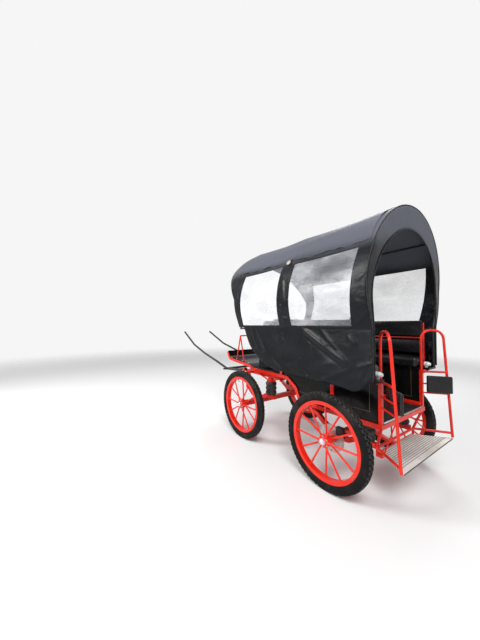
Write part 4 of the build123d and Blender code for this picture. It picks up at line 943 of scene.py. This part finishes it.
# Grab pads: a block of foam in black vinyl on each grab handle, buttoned to the bars on the doorway's side. Those
# who climb in lean on it.
pad_low, pad_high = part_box("grab_pads")
PAD_TURN, PAD_LONG, PAD_DEEP = math.radians(-37.76), 0.2413, 0.044
pad_tall = pad_high[2] - pad_low[2]
pad = fill("grab_pad", box_cushion((-PAD_LONG / 2 + 0.010, -PAD_DEEP / 2 + 0.008, -pad_tall / 2 + 0.010),
                                   (PAD_LONG / 2 - 0.010, PAD_DEEP / 2 - 0.008, pad_tall / 2 - 0.010), 0.012),
           0.006, 6.0, 0.018)
pad_half = Vector((PAD_LONG, PAD_DEEP, pad_tall)) / 2
plump(pad, -pad_half, pad_half, 1, 0.013, 0.010)
for vert in pad.verts:
    vert.co.y = min(vert.co.y, PAD_DEEP / 2)
bmesh.ops.rotate(pad, cent=(0, 0, 0), matrix=Matrix.Rotation(PAD_TURN, 3, "Z"), verts=pad.verts)
PAD_CORNER = PAD_DEEP / 3
reach = ((PAD_LONG / 2 - PAD_CORNER) * math.sin(-PAD_TURN) + (PAD_DEEP / 2 - PAD_CORNER) * math.cos(PAD_TURN)
         + PAD_CORNER)
place = ((pad_low[0] + pad_high[0]) / 2, pad_high[1] - reach, (pad_low[2] + pad_high[2]) / 2)
bmesh.ops.translate(pad, vec=place, verts=pad.verts)
put_pair("grab_pad", pad, "grab_pads")

# Rear lamps: a pale moulded plastic lamp on a bracket at the rear end of each bench's shelf, its lens a little
# filmed with dust.
lens = blotchy("lamp_lens", 60, (0.3, 0.7), (0.55, 0.57, 0.58), (0.74, 0.76, 0.77), (0.2, 0.25), detail=3,
               Coat_Weight=0.4, Coat_Roughness=0.1)
dress(lens, "rear_lamps")

# Air bellows: ribbed bags of moulded black rubber between the frame and the tails of the arms. They carry the body
# on air and have gone chalky with age.
bellow_rubber = blotchy("bellow_rubber", 25, (0.4, 0.75), (0.014, 0.014, 0.015), (0.07, 0.065, 0.06), (0.2, 0.55))
bellow_rubber.paint(Normal=bellow_rubber.where.noise(25, 4).dents(0.001))
dress(bellow_rubber, "front_bellows", "rear_bellows")

# Footboard: a black board on the rising side rails, held by zinc-plated bolts through it into the rails, with the
# dash rail's vermilion tubes over it.
dress(panel, "footboard")
dress(red_paint, "dash_rail")
RAIL_HALF_Y, BOARD_TOP = 0.435, 0.0300
BOARD_START, BOARD_END = (1.460, 0.938), (2.000, 0.985)
run, rise = BOARD_END[0] - BOARD_START[0], BOARD_END[1] - BOARD_START[1]
square = Vector((-rise, 0, run)).normalized()
heads = bmesh.new()
for share in (0.08, 0.36, 0.64, 0.92):
    on_rail = Vector((rear_x + BOARD_START[0] + run * share, 0, BOARD_START[1] + rise * share))
    for side in (1, -1):
        nut(heads, 0.013, 0.007, on_rail + square * BOARD_TOP + Vector((0, side * RAIL_HALF_Y, 0)), square)
put("footboard_bolts", heads, zinc, "hub_chrome")

# Studio: a white paper floor that fades into a white world, three soft lamps and the photograph's camera, whose
# place and angle of view were fitted to the wheels and the horizon.
floor = bmesh.new()
bmesh.ops.create_circle(floor, cap_ends=True, segments=96, radius=16)
ground = bpy.data.meshes.new("studio_floor")
floor.to_mesh(ground)
floor.free()
studio_floor = add_object("studio_floor", ground)
paper = Finish("studio_paper", Roughness=0.9)
flat = paper.where.node("ShaderNodeVectorMath", {"operation": "LENGTH"}, {0: paper.where}, 1)
paper.paint(Base_Color=flat.step(0, 9).mix((0.80, 0.80, 0.80), (0.84, 0.84, 0.84)), Alpha=1 - flat.step(6, 14))
ground.materials.append(paper.material)

world = bpy.data.worlds.new("studio")
bpy.context.scene.world = world
world.use_nodes = True
tree = Wire(world.node_tree)
seen, shiny, through = (tree.node("ShaderNodeLightPath", output="Is " + kind + " Ray")
                        for kind in ("Camera", "Glossy", "Transmission"))
backdrop = world.node_tree.nodes["Background"]
strength = (seen + shiny + through).math("MINIMUM", 1.0) * 0.56 + 0.36
world.node_tree.links.new(strength.socket, backdrop.inputs["Strength"])
backdrop.inputs["Color"].default_value = (1, 1, 1, 1)


def lamp(name, place, aim, size, power):
    """A soft square lamp."""
    light = bpy.data.lights.new(name, "AREA")
    light.shape = "SQUARE"
    light.size = size
    light.energy = power
    holder = add_object(name, light)
    holder.location = place
    holder.rotation_euler = (Vector(aim) - Vector(place)).to_track_quat("-Z", "Y").to_euler()


lamp("key_lamp", (-6.5, 4.5, 7.5), (0, 0, 1.2), 4.0, 640)
lamp("fill_lamp", (1.6, 6.5, 4.4), (-0.6, 0, 1.2), 2.6, 430)
lamp("top_lamp", (0.5, -5.0, 7.0), (0, 0, 1.0), 4.0, 300)

view = bpy.data.cameras.new("photograph_camera")
view.sensor_fit = "VERTICAL"
SENSOR, FOCAL_PX, PHOTO_PX = 36, 252, 640
view.sensor_height = SENSOR
view.lens = FOCAL_PX / PHOTO_PX * SENSOR
camera = add_object("photograph_camera", view)
camera.location = (-3.2792, 2.669, 1.538)
look = Vector((0.8225, -0.5688, math.tan(math.radians(1.07))))
camera.rotation_euler = look.to_track_quat("-Z", "Y").to_euler()
bpy.context.scene.camera = camera
bpy.context.scene.view_settings.view_transform = "Standard"
